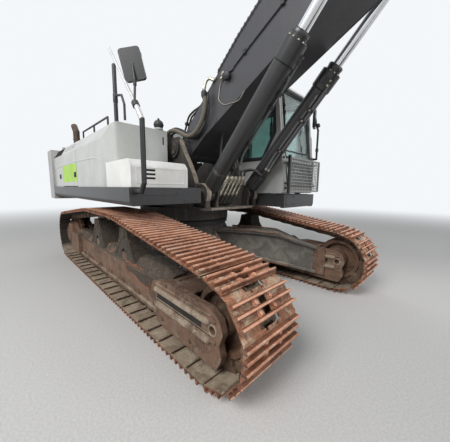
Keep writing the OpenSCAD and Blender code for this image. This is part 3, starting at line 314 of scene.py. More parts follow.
def weather_group():
    """Shared masks over object space: broad and fine noise, dust on top and low down, and streaks."""
    tree = bpy.data.node_groups.new("weather", "ShaderNodeTree")
    for name in ("Broad", "Fine", "Dust", "Streaks", "Height"):
        tree.interface.new_socket(name, in_out="OUTPUT", socket_type="NodeSocketFloat")
    out = tree.nodes.new("NodeGroupOutput")
    n = Nodes(tree)
    place = n.make("TexCoord")
    point = place.outputs["Object"]
    z = n.axis(point, 2)
    lying = n.ramp(n.axis(place.outputs["Normal"], 2), 0.25, 0.95)
    low = n.ramp(z, 1.7, 0.1)
    patches = n.ramp(n.noise(point, 5.5, 7, 0.68, 0.6), 0.42, 0.66)
    dust = n.plus(n.times(lying, 0.55), n.times(low, 0.45))
    masks = {"Broad": n.noise(point, 2.1, 6, 0.62, 0.4), "Fine": n.noise(point, 46, 6, 0.7), "Height": z,
             "Dust": n.times(dust, n.plus(n.times(patches, 0.7), 0.45), clamp=True),
             "Streaks": n.ramp(n.noise(n.stretch(point, (9, 9, 0.7)), 1.6, 5, 0.6), 0.5, 0.72)}
    for name, value in masks.items():
        n.join(value, out.inputs[name])
    return tree


WEATHER = weather_group()
DRY_MUD = (0.235, 0.18, 0.13)
PALE_DUST = (0.40, 0.355, 0.295)
CHIP_RUST = (0.13, 0.055, 0.028)
SOCKETS = {"colour": "Base Color", "rough": "Roughness", "normal": "Normal", "metal": "Metallic",
           "coat": "Coat Weight", "coat_rough": "Coat Roughness", "sheen": "Sheen Weight",
           "clear": "Transmission Weight", "ior": "IOR", "shine": "Specular IOR Level"}


def shade(colour, share):
    """Colour times share, at most 1 in each part."""
    return tuple(min(c * share, 1) for c in colour)


def start_material(name):
    """New material, its nodes, the weather masks and the place in object space."""
    m = bpy.data.materials.new(name)
    m.use_nodes = True
    n = Nodes(m.node_tree)
    return m, n, n.make("Group", node_tree=WEATHER).outputs, n.make("TexCoord").outputs["Object"]


def finish_material(m, **values):
    """Links or sets the shader's sockets."""
    for key, value in values.items():
        Nodes(m.node_tree).join(value, m.node_tree.nodes["Principled BSDF"].inputs[SOCKETS[key]])
    return m


def painted_shade_by_height(n, w, tone, colour, height):
    """Painted shade: with height = (z0, z1, share), the tone falls to that share of colour from z0 to z1."""
    return n.mix(n.ramp(w["Height"], *height[:2]), tone, shade(colour, height[2])) if height else tone


def paint(name, colour, rough=0.38, dust=0.5, streaks=0.2, chips=0.0, coat=0.0, dust_colour=PALE_DUST,
          grain=0.05, height=None):
    """Painted sheet: slight tone changes, dust on top and low down, run marks, chips down to rust, and
    painted shade from z0 to z1 where height is given.
    """
    m, n, w, point = start_material(name)
    tone = n.mix(n.ramp(w["Broad"], 0.35, 0.7), shade(colour, 0.84), colour)
    run_mark = tuple(c * 0.5 + d * 0.3 for c, d in zip(colour, DRY_MUD))
    tone = n.mix(n.times(w["Streaks"], streaks), tone, run_mark)
    speck = n.ramp(w["Fine"], 0.45, 0.75)
    dirt = n.times(w["Dust"], n.plus(n.times(speck, 0.5), dust), clamp=True)
    tone = n.mix(dirt, tone, dust_colour)
    if chips:
        spots = n.ramp(n.noise(point, 26, 8, 0.75, 0.8), 0.72 - 0.16 * chips, 0.75 - 0.14 * chips)
        tone = n.mix(spots, tone, CHIP_RUST)
    relief = n.plus(n.times(w["Fine"], 0.4), n.noise(point, 210, 3, 0.6))
    return finish_material(m, colour=painted_shade_by_height(n, w, tone, colour, height), coat=coat, coat_rough=0.2,
                           rough=n.ramp(dirt, 0.0, 0.8, rough, 0.85), normal=n.bump(relief, grain, 0.002))


def rusty(name, low, mid, high, rough=0.8, dust=0.35, dust_colour=PALE_DUST, metal=0.15, bump=0.5,
          scale=1.0, height=None):
    """Rusted steel: three browns over broad and fine noise, pits, dust in patches, and painted shade from z0
    to z1 where height is given.
    """
    m, n, w, point = start_material(name)
    grain = n.noise(point, 38 * scale, 8, 0.72)
    tone = n.mix(n.ramp(n.noise(point, 4.2 * scale, 8, 0.68, 0.7), 0.36, 0.6), low, mid)
    tone = n.mix(n.ramp(grain, 0.5, 0.7), tone, high)
    pits = n.ramp(n.noise(point, 120 * scale, 4, 0.7), 0.56, 0.72)
    tone = n.mix(n.times(pits, 0.45), tone, shade(low, 0.4))
    dirt = n.times(n.ramp(n.noise(point, 7.5 * scale, 8, 0.7, 0.5), 0.48, 0.68), dust, clamp=True)
    tone = n.mix(dirt, tone, dust_colour)
    relief = n.plus(grain, n.times(pits, -0.5))
    return finish_material(m, colour=painted_shade_by_height(n, w, tone, mid, height),
                           normal=n.bump(relief, bump, 0.004),
                           rough=n.ramp(grain, 0.3, 0.7, rough - 0.12, rough + 0.1), metal=metal)


def muddy(name, colour=DRY_MUD, pale=PALE_DUST, cracks=0.4, bump=0.8):
    """Dried mud: lumps, crumbs and fine cracks."""
    m, n, _, point = start_material(name)
    lumps = n.noise(point, 16, 9, 0.72, 0.6)
    crumbs = n.noise(point, 85, 6, 0.7)
    tone = n.mix(n.ramp(lumps, 0.35, 0.68), shade(colour, 0.5), colour)
    tone = n.mix(n.ramp(crumbs, 0.5, 0.72), tone, pale)
    cells = n.make("TexVoronoi", {"Vector": point, "Scale": 34.0}, feature="DISTANCE_TO_EDGE").outputs[0]
    split = n.ramp(cells, 0.05, 0.0, 0.0, cracks)
    relief = n.plus(n.plus(lumps, n.times(crumbs, 0.35)), n.times(split, -0.5))
    return finish_material(m, colour=n.mix(split, tone, shade(colour, 0.3)), rough=0.95,
                           normal=n.bump(relief, bump, 0.012))


def metal(name, colour, rough=0.3, metallic=1.0, dirt=0.2):
    """Bare or plated metal with light smears."""
    m, n, _, point = start_material(name)
    smear = n.ramp(n.noise(point, 11, 7, 0.66, 0.5), 0.45, 0.75)
    grain = n.noise(point, 60, 4, 0.6)
    grime = tuple(c * 0.45 + 0.05 for c in DRY_MUD)
    dull = n.plus(n.times(smear, dirt * 0.6), n.times(grain, 0.12))
    return finish_material(m, colour=n.mix(n.times(smear, dirt), colour, grime), metal=metallic,
                           rough=n.plus(dull, rough, clamp=True), normal=n.bump(grain, 0.05, 0.001))


def plain(name, colour, rough=0.5, grain=0.1, grain_scale=300, dust=0.3):
    """Rubber or plastic: a moulded grain and a little dust."""
    m, n, w, point = start_material(name)
    grains = n.noise(point, grain_scale, 3, 0.6)
    tone = n.mix(n.ramp(grains, 0.4, 0.7), shade(colour, 0.8), shade(colour, 1.25))
    return finish_material(m, colour=n.mix(n.times(w["Dust"], dust, clamp=True), tone, PALE_DUST),
                           rough=n.ramp(w["Broad"], 0.3, 0.7, rough - 0.06, rough + 0.08),
                           normal=n.bump(grains, grain, 0.001))


def woven(name, colour):
    """Seat cloth: two crossed waves make the weave."""
    m, n, _, point = start_material(name)
    weave = n.math("MAXIMUM", n.waves(point, 420.0, 0.6, "X"), n.waves(point, 420.0, 0.6, "Z"))
    return finish_material(m, colour=n.mix(weave, shade(colour, 0.6), shade(colour, 1.4)), sheen=0.3,
                           rough=n.ramp(weave, 0.0, 1.0, 0.95, 0.8), normal=n.bump(weave, 0.4, 0.001))


def braided(name):
    """Woven sleeve over a hose: crossed waves over a dusty grey brown."""
    m, n, w, point = start_material(name)
    mirrored = n.stretch(point, (1, 1, -1))
    weave = n.math("MAXIMUM", *(n.waves(p, 60.0, 1.5, "DIAGONAL") for p in (point, mirrored)))
    tone = n.mix(weave, (0.07, 0.06, 0.048), (0.20, 0.175, 0.14))
    return finish_material(m, colour=n.mix(n.times(w["Dust"], 0.5), tone, PALE_DUST),
                           normal=n.bump(weave, 0.6, 0.003), rough=0.9)


WINDSCREEN_X = 1.52


def tinted_glass(name, colour, front):
    """Tinted panes with dust and wipe marks in their roughness, and a paler tint before WINDSCREEN_X."""
    m, n, _, point = start_material(name)
    wiped = n.ramp(n.noise(n.stretch(point, (2, 2, 5)), 4, 6, 0.7, 1.0), 0.5, 0.8)
    edge = WINDSCREEN_X + SWING_X
    tint = n.mix(n.ramp(n.axis(point, 0), edge - 0.01, edge + 0.01), colour, front)
    return finish_material(m, colour=n.mix(n.times(wiped, 0.15), tint, PALE_DUST),
                           rough=n.ramp(wiped, 0, 1, 0.03, 0.105), clear=0.85, ior=1.25, shine=0.8)


LIGHT_PAINT = paint("light_paint", (0.53, 0.535, 0.505), 0.34, 0.10, 0.16, 0.03, coat=0.25)
WHITE_PAINT = paint("white_paint", (0.84, 0.83, 0.79), 0.34, 0.08, 0.10, 0.03, coat=0.25)
BARREL_PAINT = paint("barrel_paint", (0.026, 0.026, 0.027), 0.36, 0.10, 0.12, 0.07, coat=0.15)
DARK_PAINT = paint("dark_paint", (0.060, 0.059, 0.065), 0.34, 0.16, 0.16, 0.07, coat=0.15)
SKIRT_PAINT = paint("skirt_paint", (0.034, 0.035, 0.039), 0.42, 0.22, 0.2, 0.05, coat=0.1)
WEIGHT_PAINT = paint("weight_paint", (0.40, 0.395, 0.38), 0.42, 0.18, 0.3, 0.06, coat=0.15)
LIME_PAINT = paint("lime_paint", (0.42, 0.72, 0.03), 0.4, 0.05, 0.05, 0.0)
# Car body: dark grey, kept darker as painted shade under the platform. It falls to 35 % of its colour from
# 0.80 m to 0.93 m up, which is partly painted shade under the platform and partly dark grease.
BODY_PAINT = paint("body_paint", (0.045, 0.043, 0.041), 0.6, 1.0, 0.5, 0.5, dust_colour=(0.34, 0.30, 0.25),
                   grain=0.3, height=(0.80, 0.93, 0.35))
# Swing frame: its very dark colour is partly painted shade under the platform and partly its own dark paint.
SWING_PAINT = paint("swing_paint", (0.042, 0.038, 0.034), 0.6, 0.8, 0.8, 0.5,
                    dust_colour=(0.27, 0.225, 0.175), grain=0.3)
BARE_ROD = metal("bare_rod", (0.62, 0.62, 0.62), 0.4, 0.6, 0.4)
WORN_PAINT = rusty("worn_paint", (0.13, 0.105, 0.08), (0.30, 0.25, 0.20), (0.44, 0.385, 0.32), 0.75, 0.5,
                   (0.46, 0.40, 0.33), 0.0, 0.5)
SHOE_RUST = rusty("shoe_rust", (0.075, 0.028, 0.015), (0.235, 0.088, 0.043), (0.40, 0.170, 0.092), 0.66,
                  0.30, (0.36, 0.235, 0.15), 0.15, 0.5)
SHOE_WORN = rusty("shoe_worn", (0.40, 0.165, 0.090), (0.68, 0.345, 0.22), (0.84, 0.55, 0.41), 0.5, 0.5,
                  (0.70, 0.56, 0.44), 0.2, 0.35)
SHOE_FLOOR = rusty("shoe_floor", (0.17, 0.068, 0.037), (0.38, 0.167, 0.092), (0.54, 0.305, 0.187), 0.8, 1.0,
                   (0.60, 0.49, 0.35), 0.05, 0.8, 0.9)
# Pale tan: dust, and on the guard ribs also a painted highlight that sets them off from the darker plate.
DUST_AND_HIGHLIGHT_TAN = rusty("flange_dust", (0.12, 0.08, 0.055), (0.28, 0.215, 0.155), (0.42, 0.34, 0.255), 0.9, 0.6,
                    (0.46, 0.39, 0.30), 0.0, 0.6)
# Near-black mud texture as painted shade: in the slots between the guard ribs, under the beam's flanges and
# inside the carrier stands.
POCKET_SHADE = muddy("pocket_dirt", (0.022, 0.018, 0.015), (0.07, 0.055, 0.042), 0.2, 1.0)
STAND_MUD = muddy("stand_mud", (0.080, 0.062, 0.048), (0.19, 0.155, 0.12), 0.3, 1.0)
WORN_STEEL = metal("worn_steel", (0.34, 0.32, 0.30), 0.35, 0.9, 0.5)
# Undersides and inner faces of the shoes: painted shade inside the track loops. From 0.10 m to 0.24 m up
# they fall to a tenth of their middle brown, so the top run and the wraps look shaded.
SHOE_INSIDE = rusty("shoe_inside", (0.165, 0.120, 0.080), (0.31, 0.245, 0.175), (0.42, 0.345, 0.26), 0.9,
                    0.8, (0.43, 0.36, 0.27), 0.0, 0.35, height=(0.10, 0.24, 0.10))
# Chain links, bolts and pins: kept dark, partly as painted shade for the chain inside the track loops.
CHAIN_STEEL = rusty("chain_steel", (0.055, 0.036, 0.026), (0.14, 0.085, 0.055), (0.24, 0.15, 0.095), 0.75,
                    0.6, (0.27, 0.21, 0.155), 0.3, 0.5)
FRAME_RUST = rusty("frame_rust", (0.085, 0.048, 0.032), (0.17, 0.098, 0.064), (0.27, 0.16, 0.10), 0.82,
                   0.60, (0.26, 0.20, 0.145), 0.05, 0.4)
WHEEL_STEEL = rusty("wheel_steel", (0.06, 0.038, 0.027), (0.15, 0.08, 0.048), (0.27, 0.14, 0.08), 0.75, 0.6,
                    (0.27, 0.2, 0.14), 0.3, 0.45)
BUCKET_STEEL = rusty("bucket_steel", (0.035, 0.033, 0.032), (0.085, 0.075, 0.066), (0.17, 0.13, 0.10), 0.55,
                     0.6, (0.24, 0.195, 0.15), 0.5, 0.3)
EXHAUST_STEEL = rusty("exhaust_steel", (0.05, 0.035, 0.028), (0.11, 0.075, 0.055), (0.2, 0.13, 0.09), 0.6,
                      0.2, metal=0.6)
MUD = muddy("mud", (0.105, 0.08, 0.06), (0.25, 0.205, 0.16), 0.35, 1.0)
CHROME = metal("rod_chrome", (0.80, 0.81, 0.83), 0.08, 1.0, 0.12)
# Slew ring: near black, partly grease and partly painted shade under the platform.
GREASE_AND_SHADE_STEEL = metal("greasy_steel", (0.05, 0.045, 0.04), 0.42, 0.8, 0.5)
ZINC = metal("zinc_fittings", (0.50, 0.465, 0.38), 0.32, 0.9, 0.6)
LINE_PAINT = paint("line_paint", (0.13, 0.13, 0.135), 0.32, 0.25, 0.3, 0.15, coat=0.2)
PIPE_PAINT = paint("pipe_paint", (0.05, 0.051, 0.055), 0.34, 0.12, 0.1, 0.04, coat=0.2)
HOSE_RUBBER = plain("hose_rubber", (0.025, 0.024, 0.023), 0.55, 0.25, 500, dust=0.5)
SEAL_RUBBER = plain("seal_rubber", (0.012, 0.012, 0.012), 0.5, 0.1, 400, dust=0.2)
BLACK_PLASTIC = plain("black_plastic", (0.022, 0.022, 0.024), 0.5, 0.3, 620, dust=0.25)
BLACK_PAINT = paint("black_paint", (0.014, 0.014, 0.015), 0.4, 0.12, 0.1, 0.05)
# Near-black for slots and recesses: painted shade in their openings.
HOLE_SHADE = plain("dark_hole", (0.004, 0.004, 0.004), 0.9, 0.1, 200, dust=0.1)
GRILLE_PAINT = paint("grille_paint", (0.30, 0.30, 0.29), 0.45, 0.3, 0.2, 0.1)
ENGINE_IRON = rusty("engine_iron", (0.03, 0.034, 0.037), (0.055, 0.062, 0.066), (0.10, 0.10, 0.095), 0.6,
                    0.4, metal=0.3)
SEAT_CLOTH = woven("seat_cloth", (0.045, 0.045, 0.05))
CAB_GLASS = tinted_glass("cab_glass_tint", (0.34, 0.50, 0.475), (0.86, 0.97, 0.955))
DARK_GLASS = metal("screen_glass", (0.01, 0.012, 0.015), 0.05, 0.0, 0.1)
MIRROR = metal("mirror_silver", (0.86, 0.88, 0.9), 0.03, 1.0, 0.08)
BRAID = braided("braided_sleeve")

CAD_FINISH = {
    BODY_PAINT: ["center_frame"],
    SWING_PAINT: ["swing_frame"],
    GREASE_AND_SHADE_STEEL: ["swing_bearing"],
    FRAME_RUST: ["track_frame_right", "track_frame_left"],
    SHOE_RUST: ["track_right", "track_left"],
    WHEEL_STEEL: [f"{part}_{side}" for part in ("idler", "sprocket", "rollers")
                  for side in ("right", "left")],
    SKIRT_PAINT: ["deck_right", "deck_left"],
    WEIGHT_PAINT: ["counterweight"],
    ENGINE_IRON: ["engine_block"],
    LIGHT_PAINT: ["fuel_tank", "house_panels", "pump_door", "radiator_door", "engine_hood", "cab_shell",
                  "cab_door"],
    WHITE_PAINT: ["toolbox", "toolbox_lid"],
    EXHAUST_STEEL: ["exhaust_pipe"],
    BLACK_PAINT: ["handrails", "mirrors"],
    BLACK_PLASTIC: ["cab_controls"],
    CAB_GLASS: ["cab_glass"],
    GRILLE_PAINT: ["cab_guard"],
    SEAT_CLOTH: ["operator_seat"],
    DARK_PAINT: ["boom", "arm", "rocker", "link"],
    BARREL_PAINT: ["boom_barrels", "arm_barrel", "bucket_barrel"],
    CHROME: ["boom_rods", "arm_rod", "bucket_rod"],
    BUCKET_STEEL: ["bucket"],
    HOSE_RUBBER: ["boom_hoses"],
}


def finish_cad_nodes():
    """Gives every CAD node its material."""
    for material, nodes in CAD_FINISH.items():
        for name in nodes:
            obj = frame["nodes"][name]
            if not obj.data.materials:
                obj.data.materials.append(material)
            for s in obj.material_slots:
                s.material = material


finish_cad_nodes()


# Tracks: the chain's path is the one in the part's source

GAUGE = 2.390
SHOE_W = 0.600
PITCH = 0.216
AXLE_SPAN = 4.570
IDLER_R = 0.340
HALF_TEETH = 21
LINK_H = 0.090
SEAT_H = 0.060
PLATE_T = 0.014
GROUSER_H = 0.036
TOP_RUN = 1.140
CARRIER_R = 0.085
CARRIER_X = 0.540
CARRIER_SAG = 0.008
OUTER_H = SEAT_H + PLATE_T + GROUSER_H
SPROCKET_R = HALF_TEETH / 2 * PITCH / (2 * pi)
SPROCKET = (-AXLE_SPAN / 2, SPROCKET_R + OUTER_H)
IDLER_Z = IDLER_R + OUTER_H
CARRIER_Z = TOP_RUN - OUTER_H - LINK_H / 2 - CARRIER_SAG - CARRIER_R


def wheels(idler_x):
    """The loop's four wheels as (x, z, radius of the chain's pins round it)."""
    carrier = CARRIER_R + CARRIER_SAG + LINK_H / 2
    return [(idler_x, IDLER_Z, IDLER_R), (CARRIER_X, CARRIER_Z, carrier), (-CARRIER_X, CARRIER_Z, carrier),
            (*SPROCKET, SPROCKET_R)]


def legs(path):
    """For each wheel: heading of the run that leaves it, arc round it and length of that run. The run
    touches both circles, so its length is the root of d^2 - (r - r2)^2, with d from centre to centre."""
    out = []
    for i, (x, z, r) in enumerate(path):
        x2, z2, r2 = path[(i + 1) % 4]
        d = hypot(x2 - x, z2 - z)
        out.append([atan2(z2 - z, x2 - x) + asin((r - r2) / d), 0.0, sqrt(d * d - (r - r2) ** 2)])
    for i in range(4):
        out[i][1] = path[i][2] * ((out[i][0] - out[i - 1][0]) % (2 * pi))
    return out


def chain_pins():
    """Points of the chain's pins as (x, z), at equal steps along the path, and the idler's place. The idler
    moves by half of what the path lacks to a whole number of pitches."""
    base = sum(a + run for _, a, run in legs(wheels(AXLE_SPAN / 2)))
    count = round(base / PITCH)
    idler_x = AXLE_SPAN / 2 + (count * PITCH - base) / 2
    path = wheels(idler_x)
    parts = legs(path)
    step = sum(a + run for _, a, run in parts) / count
    pins = []
    for i in range(count):
        s = i * step
        for j, (head, arc, run) in enumerate(parts):
            x, z, r = path[j]
            before = parts[j - 1][0]
            if s < arc:
                a = before - pi / 2 + s / r
                pins.append((x + r * cos(a), z + r * sin(a)))
                break
            if s < arc + run:
                a = head - pi / 2
                d = s - arc
                pins.append((x + r * cos(a) + d * cos(head), z + r * sin(a) + d * sin(head)))
                break
            s -= arc + run
    return np.array(pins), idler_x


CHAIN, IDLER_X = chain_pins()
BAR_STEP = PITCH / 3
BARS = [0.020 + BAR_STEP * i for i in range(3)]
ROW_CENTRES = [BARS[0] + BAR_STEP / 2, BARS[1] + BAR_STEP / 2]
BOLT_Y = 0.080
BACK_EDGE = 0.2126  # past this place along a shoe comes the lip that lies under the next one
OUTSIDE, INSIDE, CHAIN_KIND, WORN_CREST, FLAT_FLOOR = range(5)  # the shoe's materials


def shoe(mesh, move):
    """Triple-bar shoe as a grid of cells in (along, across), some of which are left open as holes."""
    h = SEAT_H + PLATE_T
    bar = [(-0.014, 0), (-0.0095, 0.028), (-0.0055, GROUSER_H), (0.0055, GROUSER_H), (0.0095, 0.028),
           (0.014, 0)]
    top = [(0.003, SEAT_H + 0.010), (0.006, h)]
    top += [(c + u, h + up) for c in BARS for u, up in bar]
    top += [(0.192, h), (0.2075, h - 0.002), (0.2125, SEAT_H + 0.006)]
    low = [(u, SEAT_H if 0.004 < u < 0.2 else SEAT_H + 0.004) for u, _ in top]
    half = SHOE_W / 2
    top += [(0.219, SEAT_H - 0.0035), (0.236, SEAT_H - 0.011), (0.2535, SEAT_H - 0.022)]
    low += [(0.217, SEAT_H - 0.012), (0.233, SEAT_H - 0.020), (0.250, SEAT_H - 0.030)]
    across = [-half, -0.104, -0.070, -0.046, -0.036, 0.036, 0.046, 0.070, 0.104, half]

    def solid(k, j):
        """Whether the cell isn't in a hole, in a notch or where the next link lies."""
        u = (top[k][0] + top[k + 1][0]) / 2
        y = abs((across[j] + across[j + 1]) / 2)
        in_hole = y < 0.036 and any(abs(u - c) < 0.02 for c in ROW_CENTRES)
        in_notch = 0.046 < y < 0.070 and u > 0.192
        in_chain = u > BACK_EDGE and y < 0.104
        return not (in_hole or in_notch or in_chain)

    rows, cols = len(top), len(across)
    points = [(u, y, v) for line in (top, low) for u, v in line for y in across]

    def at(level, k, j):
        """Number of a corner: level 0 is the top and 1 the underside."""
        return level * rows * cols + k * cols + j

    faces, kinds = [], []
    for k in range(rows - 1):
        for j in range(cols - 1):
            if not solid(k, j):
                continue
            u = top[k + 1][0]
            faces.append((at(0, k, j), at(0, k, j + 1), at(0, k + 1, j + 1), at(0, k + 1, j)))
            faces.append((at(1, k, j), at(1, k + 1, j), at(1, k + 1, j + 1), at(1, k, j + 1)))
            heights = top[k][1], top[k + 1][1]
            crest = min(heights) > h + 0.020
            flat = max(heights) < h + 0.001
            kinds += [WORN_CREST if crest else FLAT_FLOOR if flat else OUTSIDE, INSIDE]
            sides = [(k - 1, j, (k, j), (k, j + 1)), (k + 1, j, (k + 1, j + 1), (k + 1, j)),
                     (k, j - 1, (k + 1, j), (k, j)), (k, j + 1, (k, j + 1), (k + 1, j + 1))]
            for nk, nj, a, b in sides:
                if not (0 <= nk < rows - 1 and 0 <= nj < cols - 1 and solid(nk, nj)):
                    faces.append((at(0, *b), at(0, *a), at(1, *a), at(1, *b)))
                    kinds.append(INSIDE if u > BACK_EDGE else OUTSIDE)
    start = len(mesh.kinds)
    mesh.add(points, faces, move)
    mesh.kinds[start:] = kinds


def track(side, name):
    """One loop: a shoe, two pairs of link plates, a pin, a bushing and four bolts for each pitch."""
    mesh = Mesh()
    middle = side * GAUGE / 2
    front = [(-0.040, -0.020), (-0.022, -0.040), (0.060, -0.045), (0.118, -0.045), (0.134, -0.026),
             (0.128, 0.012), (0.150, 0.040), (0.150, SEAT_H), (0.030, SEAT_H), (0.006, 0.034),
             (-0.030, 0.030), (-0.042, 0.008)]
    back = [(PITCH - u, v) for u, v in front[::-1]]
    for i in range(len(CHAIN)):
        a, b = CHAIN[i], CHAIN[(i + 1) % len(CHAIN)]
        along = unit(b - a)
        move = frame_at((a[0], middle, a[1]), (along[0], 0, along[1]), (along[1], 0, -along[0]))
        shoe(mesh, move)
        for s in (-1, 1):
            mesh.plate(front, s * 0.073, s * 0.095, move, CHAIN_KIND)
            mesh.plate(back, s * 0.050, s * 0.0725, move, CHAIN_KIND)
            for c in ROW_CENTRES:
                mesh.bolt((c, s * BOLT_Y, SEAT_H + PLATE_T), UP, 0.0175, 0.018, move, WORN_CREST)
        mesh.rod((0, -0.0995, 0), (0, 0.0995, 0), 0.022, 16, move, CHAIN_KIND)
        mesh.rod((0, -0.050, 0), (0, 0.050, 0), 0.033, 20, move, CHAIN_KIND)
    mesh.build(name, SHOE_RUST, "undercarriage", replaces=[f"track_{name.split('_')[1]}"],
               kinds=[SHOE_INSIDE, CHAIN_STEEL, SHOE_WORN, SHOE_FLOOR], angle=32)


track(1, "shoes_left")
track(-1, "shoes_right")


# Undercarriage details


def pin(joint):
    """A joint's place in the machine's frame."""
    return PINS[joint] - (SWING_X, 0, 0)


def mud_bank(name, side):
    """Dried mud on a track frame's sloped roof: height = roof + (12 mm + 10 mm times a sum of sines + a
    pile towards the front) times a fade to 0 at the edges and ends."""
    half, x0, x1 = 0.150, -1.90, 1.62
    roof_z, eave_z, crest, eave_y = 0.600, 0.520, 0.060, 0.135
    nx, ny = 150, 18
    xs, ys = np.linspace(x0, x1, nx), np.linspace(-half, half, ny)
    gx, gy = np.meshgrid(xs, ys, indexing="ij")
    fall = (abs(gy) - crest) / (eave_y - crest) * (roof_z - eave_z)
    roof = np.where(abs(gy) < crest, roof_z, roof_z - fall)
    wave = np.sin(gx * 7.3 + gy * 9) + np.sin(gx * 17.1 - gy * 23 + 1.3) * 0.6
    wave = wave + np.sin(gx * 41 + gy * 57) * 0.25 + np.sin(gx * 83 - gy * 71 + 2.0) * 0.12
    pile = 0.5 + 0.5 * np.tanh((gx - 0.95) * 4)
    edges = np.clip((half - abs(gy)) / 0.03, 0, 1)
    fade = edges * np.clip((gx - x0) / 0.15, 0, 1) * np.clip((x1 - gx) / 0.1, 0, 1)
    lift = np.clip(0.012 + 0.010 * wave + 0.055 * pile, 0.002, 0.10) * fade
    z = np.maximum(roof, roof_z - 0.085) + lift - 0.004
    top = np.stack([gx, gy + side * GAUGE / 2, z], -1).reshape(-1, 3)
    faces = [(i * ny + j, (i + 1) * ny + j, (i + 1) * ny + j + 1, i * ny + j + 1)
             for i in range(nx - 1) for j in range(ny - 1)]
    Mesh().add(top, faces).build(name, MUD, "undercarriage", angle=80)


def undercarriage_bolts():
    """Bolt rings on both sides of the travel motors, guard bolts, and end caps on rollers and carriers."""
    steel, caps = Mesh(), Mesh()
    for side in (-1, 1):
        middle = side * GAUGE / 2
        for out, face, radius in ((1, 0.208, 0.118), (-1, 0.338, 0.128)):
            y = middle + side * out * face
            for a in np.arange(12) * pi / 6:
                at = (SPROCKET[0] + radius * cos(a), y - side * out * 0.006, SPROCKET[1] + radius * sin(a))
                steel.bolt(at, (0, side * out, 0), 0.012, 0.014)
        for s in (-1, 1):
            face = middle + s * 0.2045
            for x, z in ((1.62, 0.205), (2.06, 0.200), (1.70, 0.565)):
                steel.bolt((x, face, z), (0, s, 0), 0.015, 0.012)
            for x in np.linspace(-1.78, 1.38, 8):
                centre = (x, middle + s * 0.135, 0.196)
                caps.turned(centre, (0, s, 0), [(0, 0.070), (0.016, 0.070), (0.020, 0.060), (0.012, 0.050),
                                                (0.014, 0.02)], 24)
            for x in (-CARRIER_X, CARRIER_X):
                caps.turned((x, middle + s * 0.1285, CARRIER_Z), (0, s, 0),
                            [(0, 0.044), (0.010, 0.044), (0.013, 0.036), (0.011, 0.012)], 24)
    steel.build("undercarriage_bolts", CHAIN_STEEL, "undercarriage")
    caps.build("roller_caps", WHEEL_STEEL, "undercarriage")


TIE_HOLE = (IDLER_X + 0.020, 0.430)
RIB_SECTIONS = [(1.498, 0.15), (1.506, 0.7), (1.53, 1.0), (2.29, 1.0), (2.318, 0.8), (2.328, 0.2)]
BEAM_FACE = 0.1345
TORN_POCKET = [(0.60, 0.519), (0.612, 0.45), (0.70, 0.425), (0.86, 0.410), (0.95, 0.385), (1.12, 0.362),
               (1.24, 0.372), (1.27, 0.44), (1.33, 0.519)]
SMALL_POCKET = [(-1.84, 0.519), (-1.83, 0.47), (-1.72, 0.455), (-1.62, 0.468), (-1.60, 0.519)]


def guard_ribs():
    """Round-ended ribs in a pale tan that is partly a painted highlight, with a near-black slot between them
    as painted shade under the upper rib, the tie hole's rim, the beam's flange over a near-black band of
    painted shade, and pockets. A rib's sections are half rings, 36 mm deep and 31 mm high, scaled by a share
    at each place along X."""
    ribs, dark, flange = Mesh(), Mesh(), Mesh()
    for side in (-1, 1):
        for s in (-1, 1):
            face = side * GAUGE / 2 + s * 0.203
            for z in (0.486, 0.338):
                rings = [[(x, face + s * 0.036 * k * cos(a), z + 0.031 * k * sin(a))
                          for a in np.linspace(-pi / 2, pi / 2, 11)[::-s]] for x, k in RIB_SECTIONS]
                ribs.loft(rings)
                ribs.box((1.512, face, z + 0.045), (2.32, face + s * 0.006, z + 0.055))
            # Near-black plate in the slot between the ribs: painted shade under the upper rib.
            dark.box((1.53, face - s * 0.004, 0.374), (2.215, face + s * 0.0032, 0.450))
            ribs.tube(upright_loop(TIE_HOLE[0], face + s * 0.001, TIE_HOLE[1], 0.041, 33), 0.008, 10,
                      smooth=False)
            beam = side * GAUGE / 2 + s * BEAM_FACE
            flange.box((-1.975, beam, 0.196), (1.498, beam + s * 0.030, 0.218))
            flange.box((-1.975, beam, 0.150), (-1.955, beam + s * 0.030, 0.205))
            # Near-black band under the flange: painted shade where the rollers sit.
            dark.box((-1.95, beam - s * 0.004, 0.1705), (1.498, beam + s * 0.003, 0.196))
            for pocket in (TORN_POCKET, SMALL_POCKET):
                dark.plate(pocket, beam - s * 0.004, beam + s * 0.0035, kind=1)
            edge = [(x + 0.006 * sin(31 * i), beam + s * 0.004, z - 0.004)
                    for i, (x, z) in enumerate(TORN_POCKET[:-1])]
            ribs.tube(edge, 0.0085, 8, kind=1)
            ribs.tube([(x, beam + s * 0.004, z - 0.003) for x, z in SMALL_POCKET], 0.007, 8, kind=1)
    # The ribs' pale tan is partly a painted highlight.
    ribs.build("guard_ribs", DUST_AND_HIGHLIGHT_TAN, "undercarriage", bevel=0.002, kinds=(SHOE_RUST,))
    dark.build("frame_pockets", POCKET_SHADE, "undercarriage", kinds=(STAND_MUD,))
    flange.build("beam_flanges", DUST_AND_HIGHLIGHT_TAN, "undercarriage", bevel=0.004)


mud_bank("mud_left", 1)
mud_bank("mud_right", -1)
guard_ribs()
undercarriage_bolts()


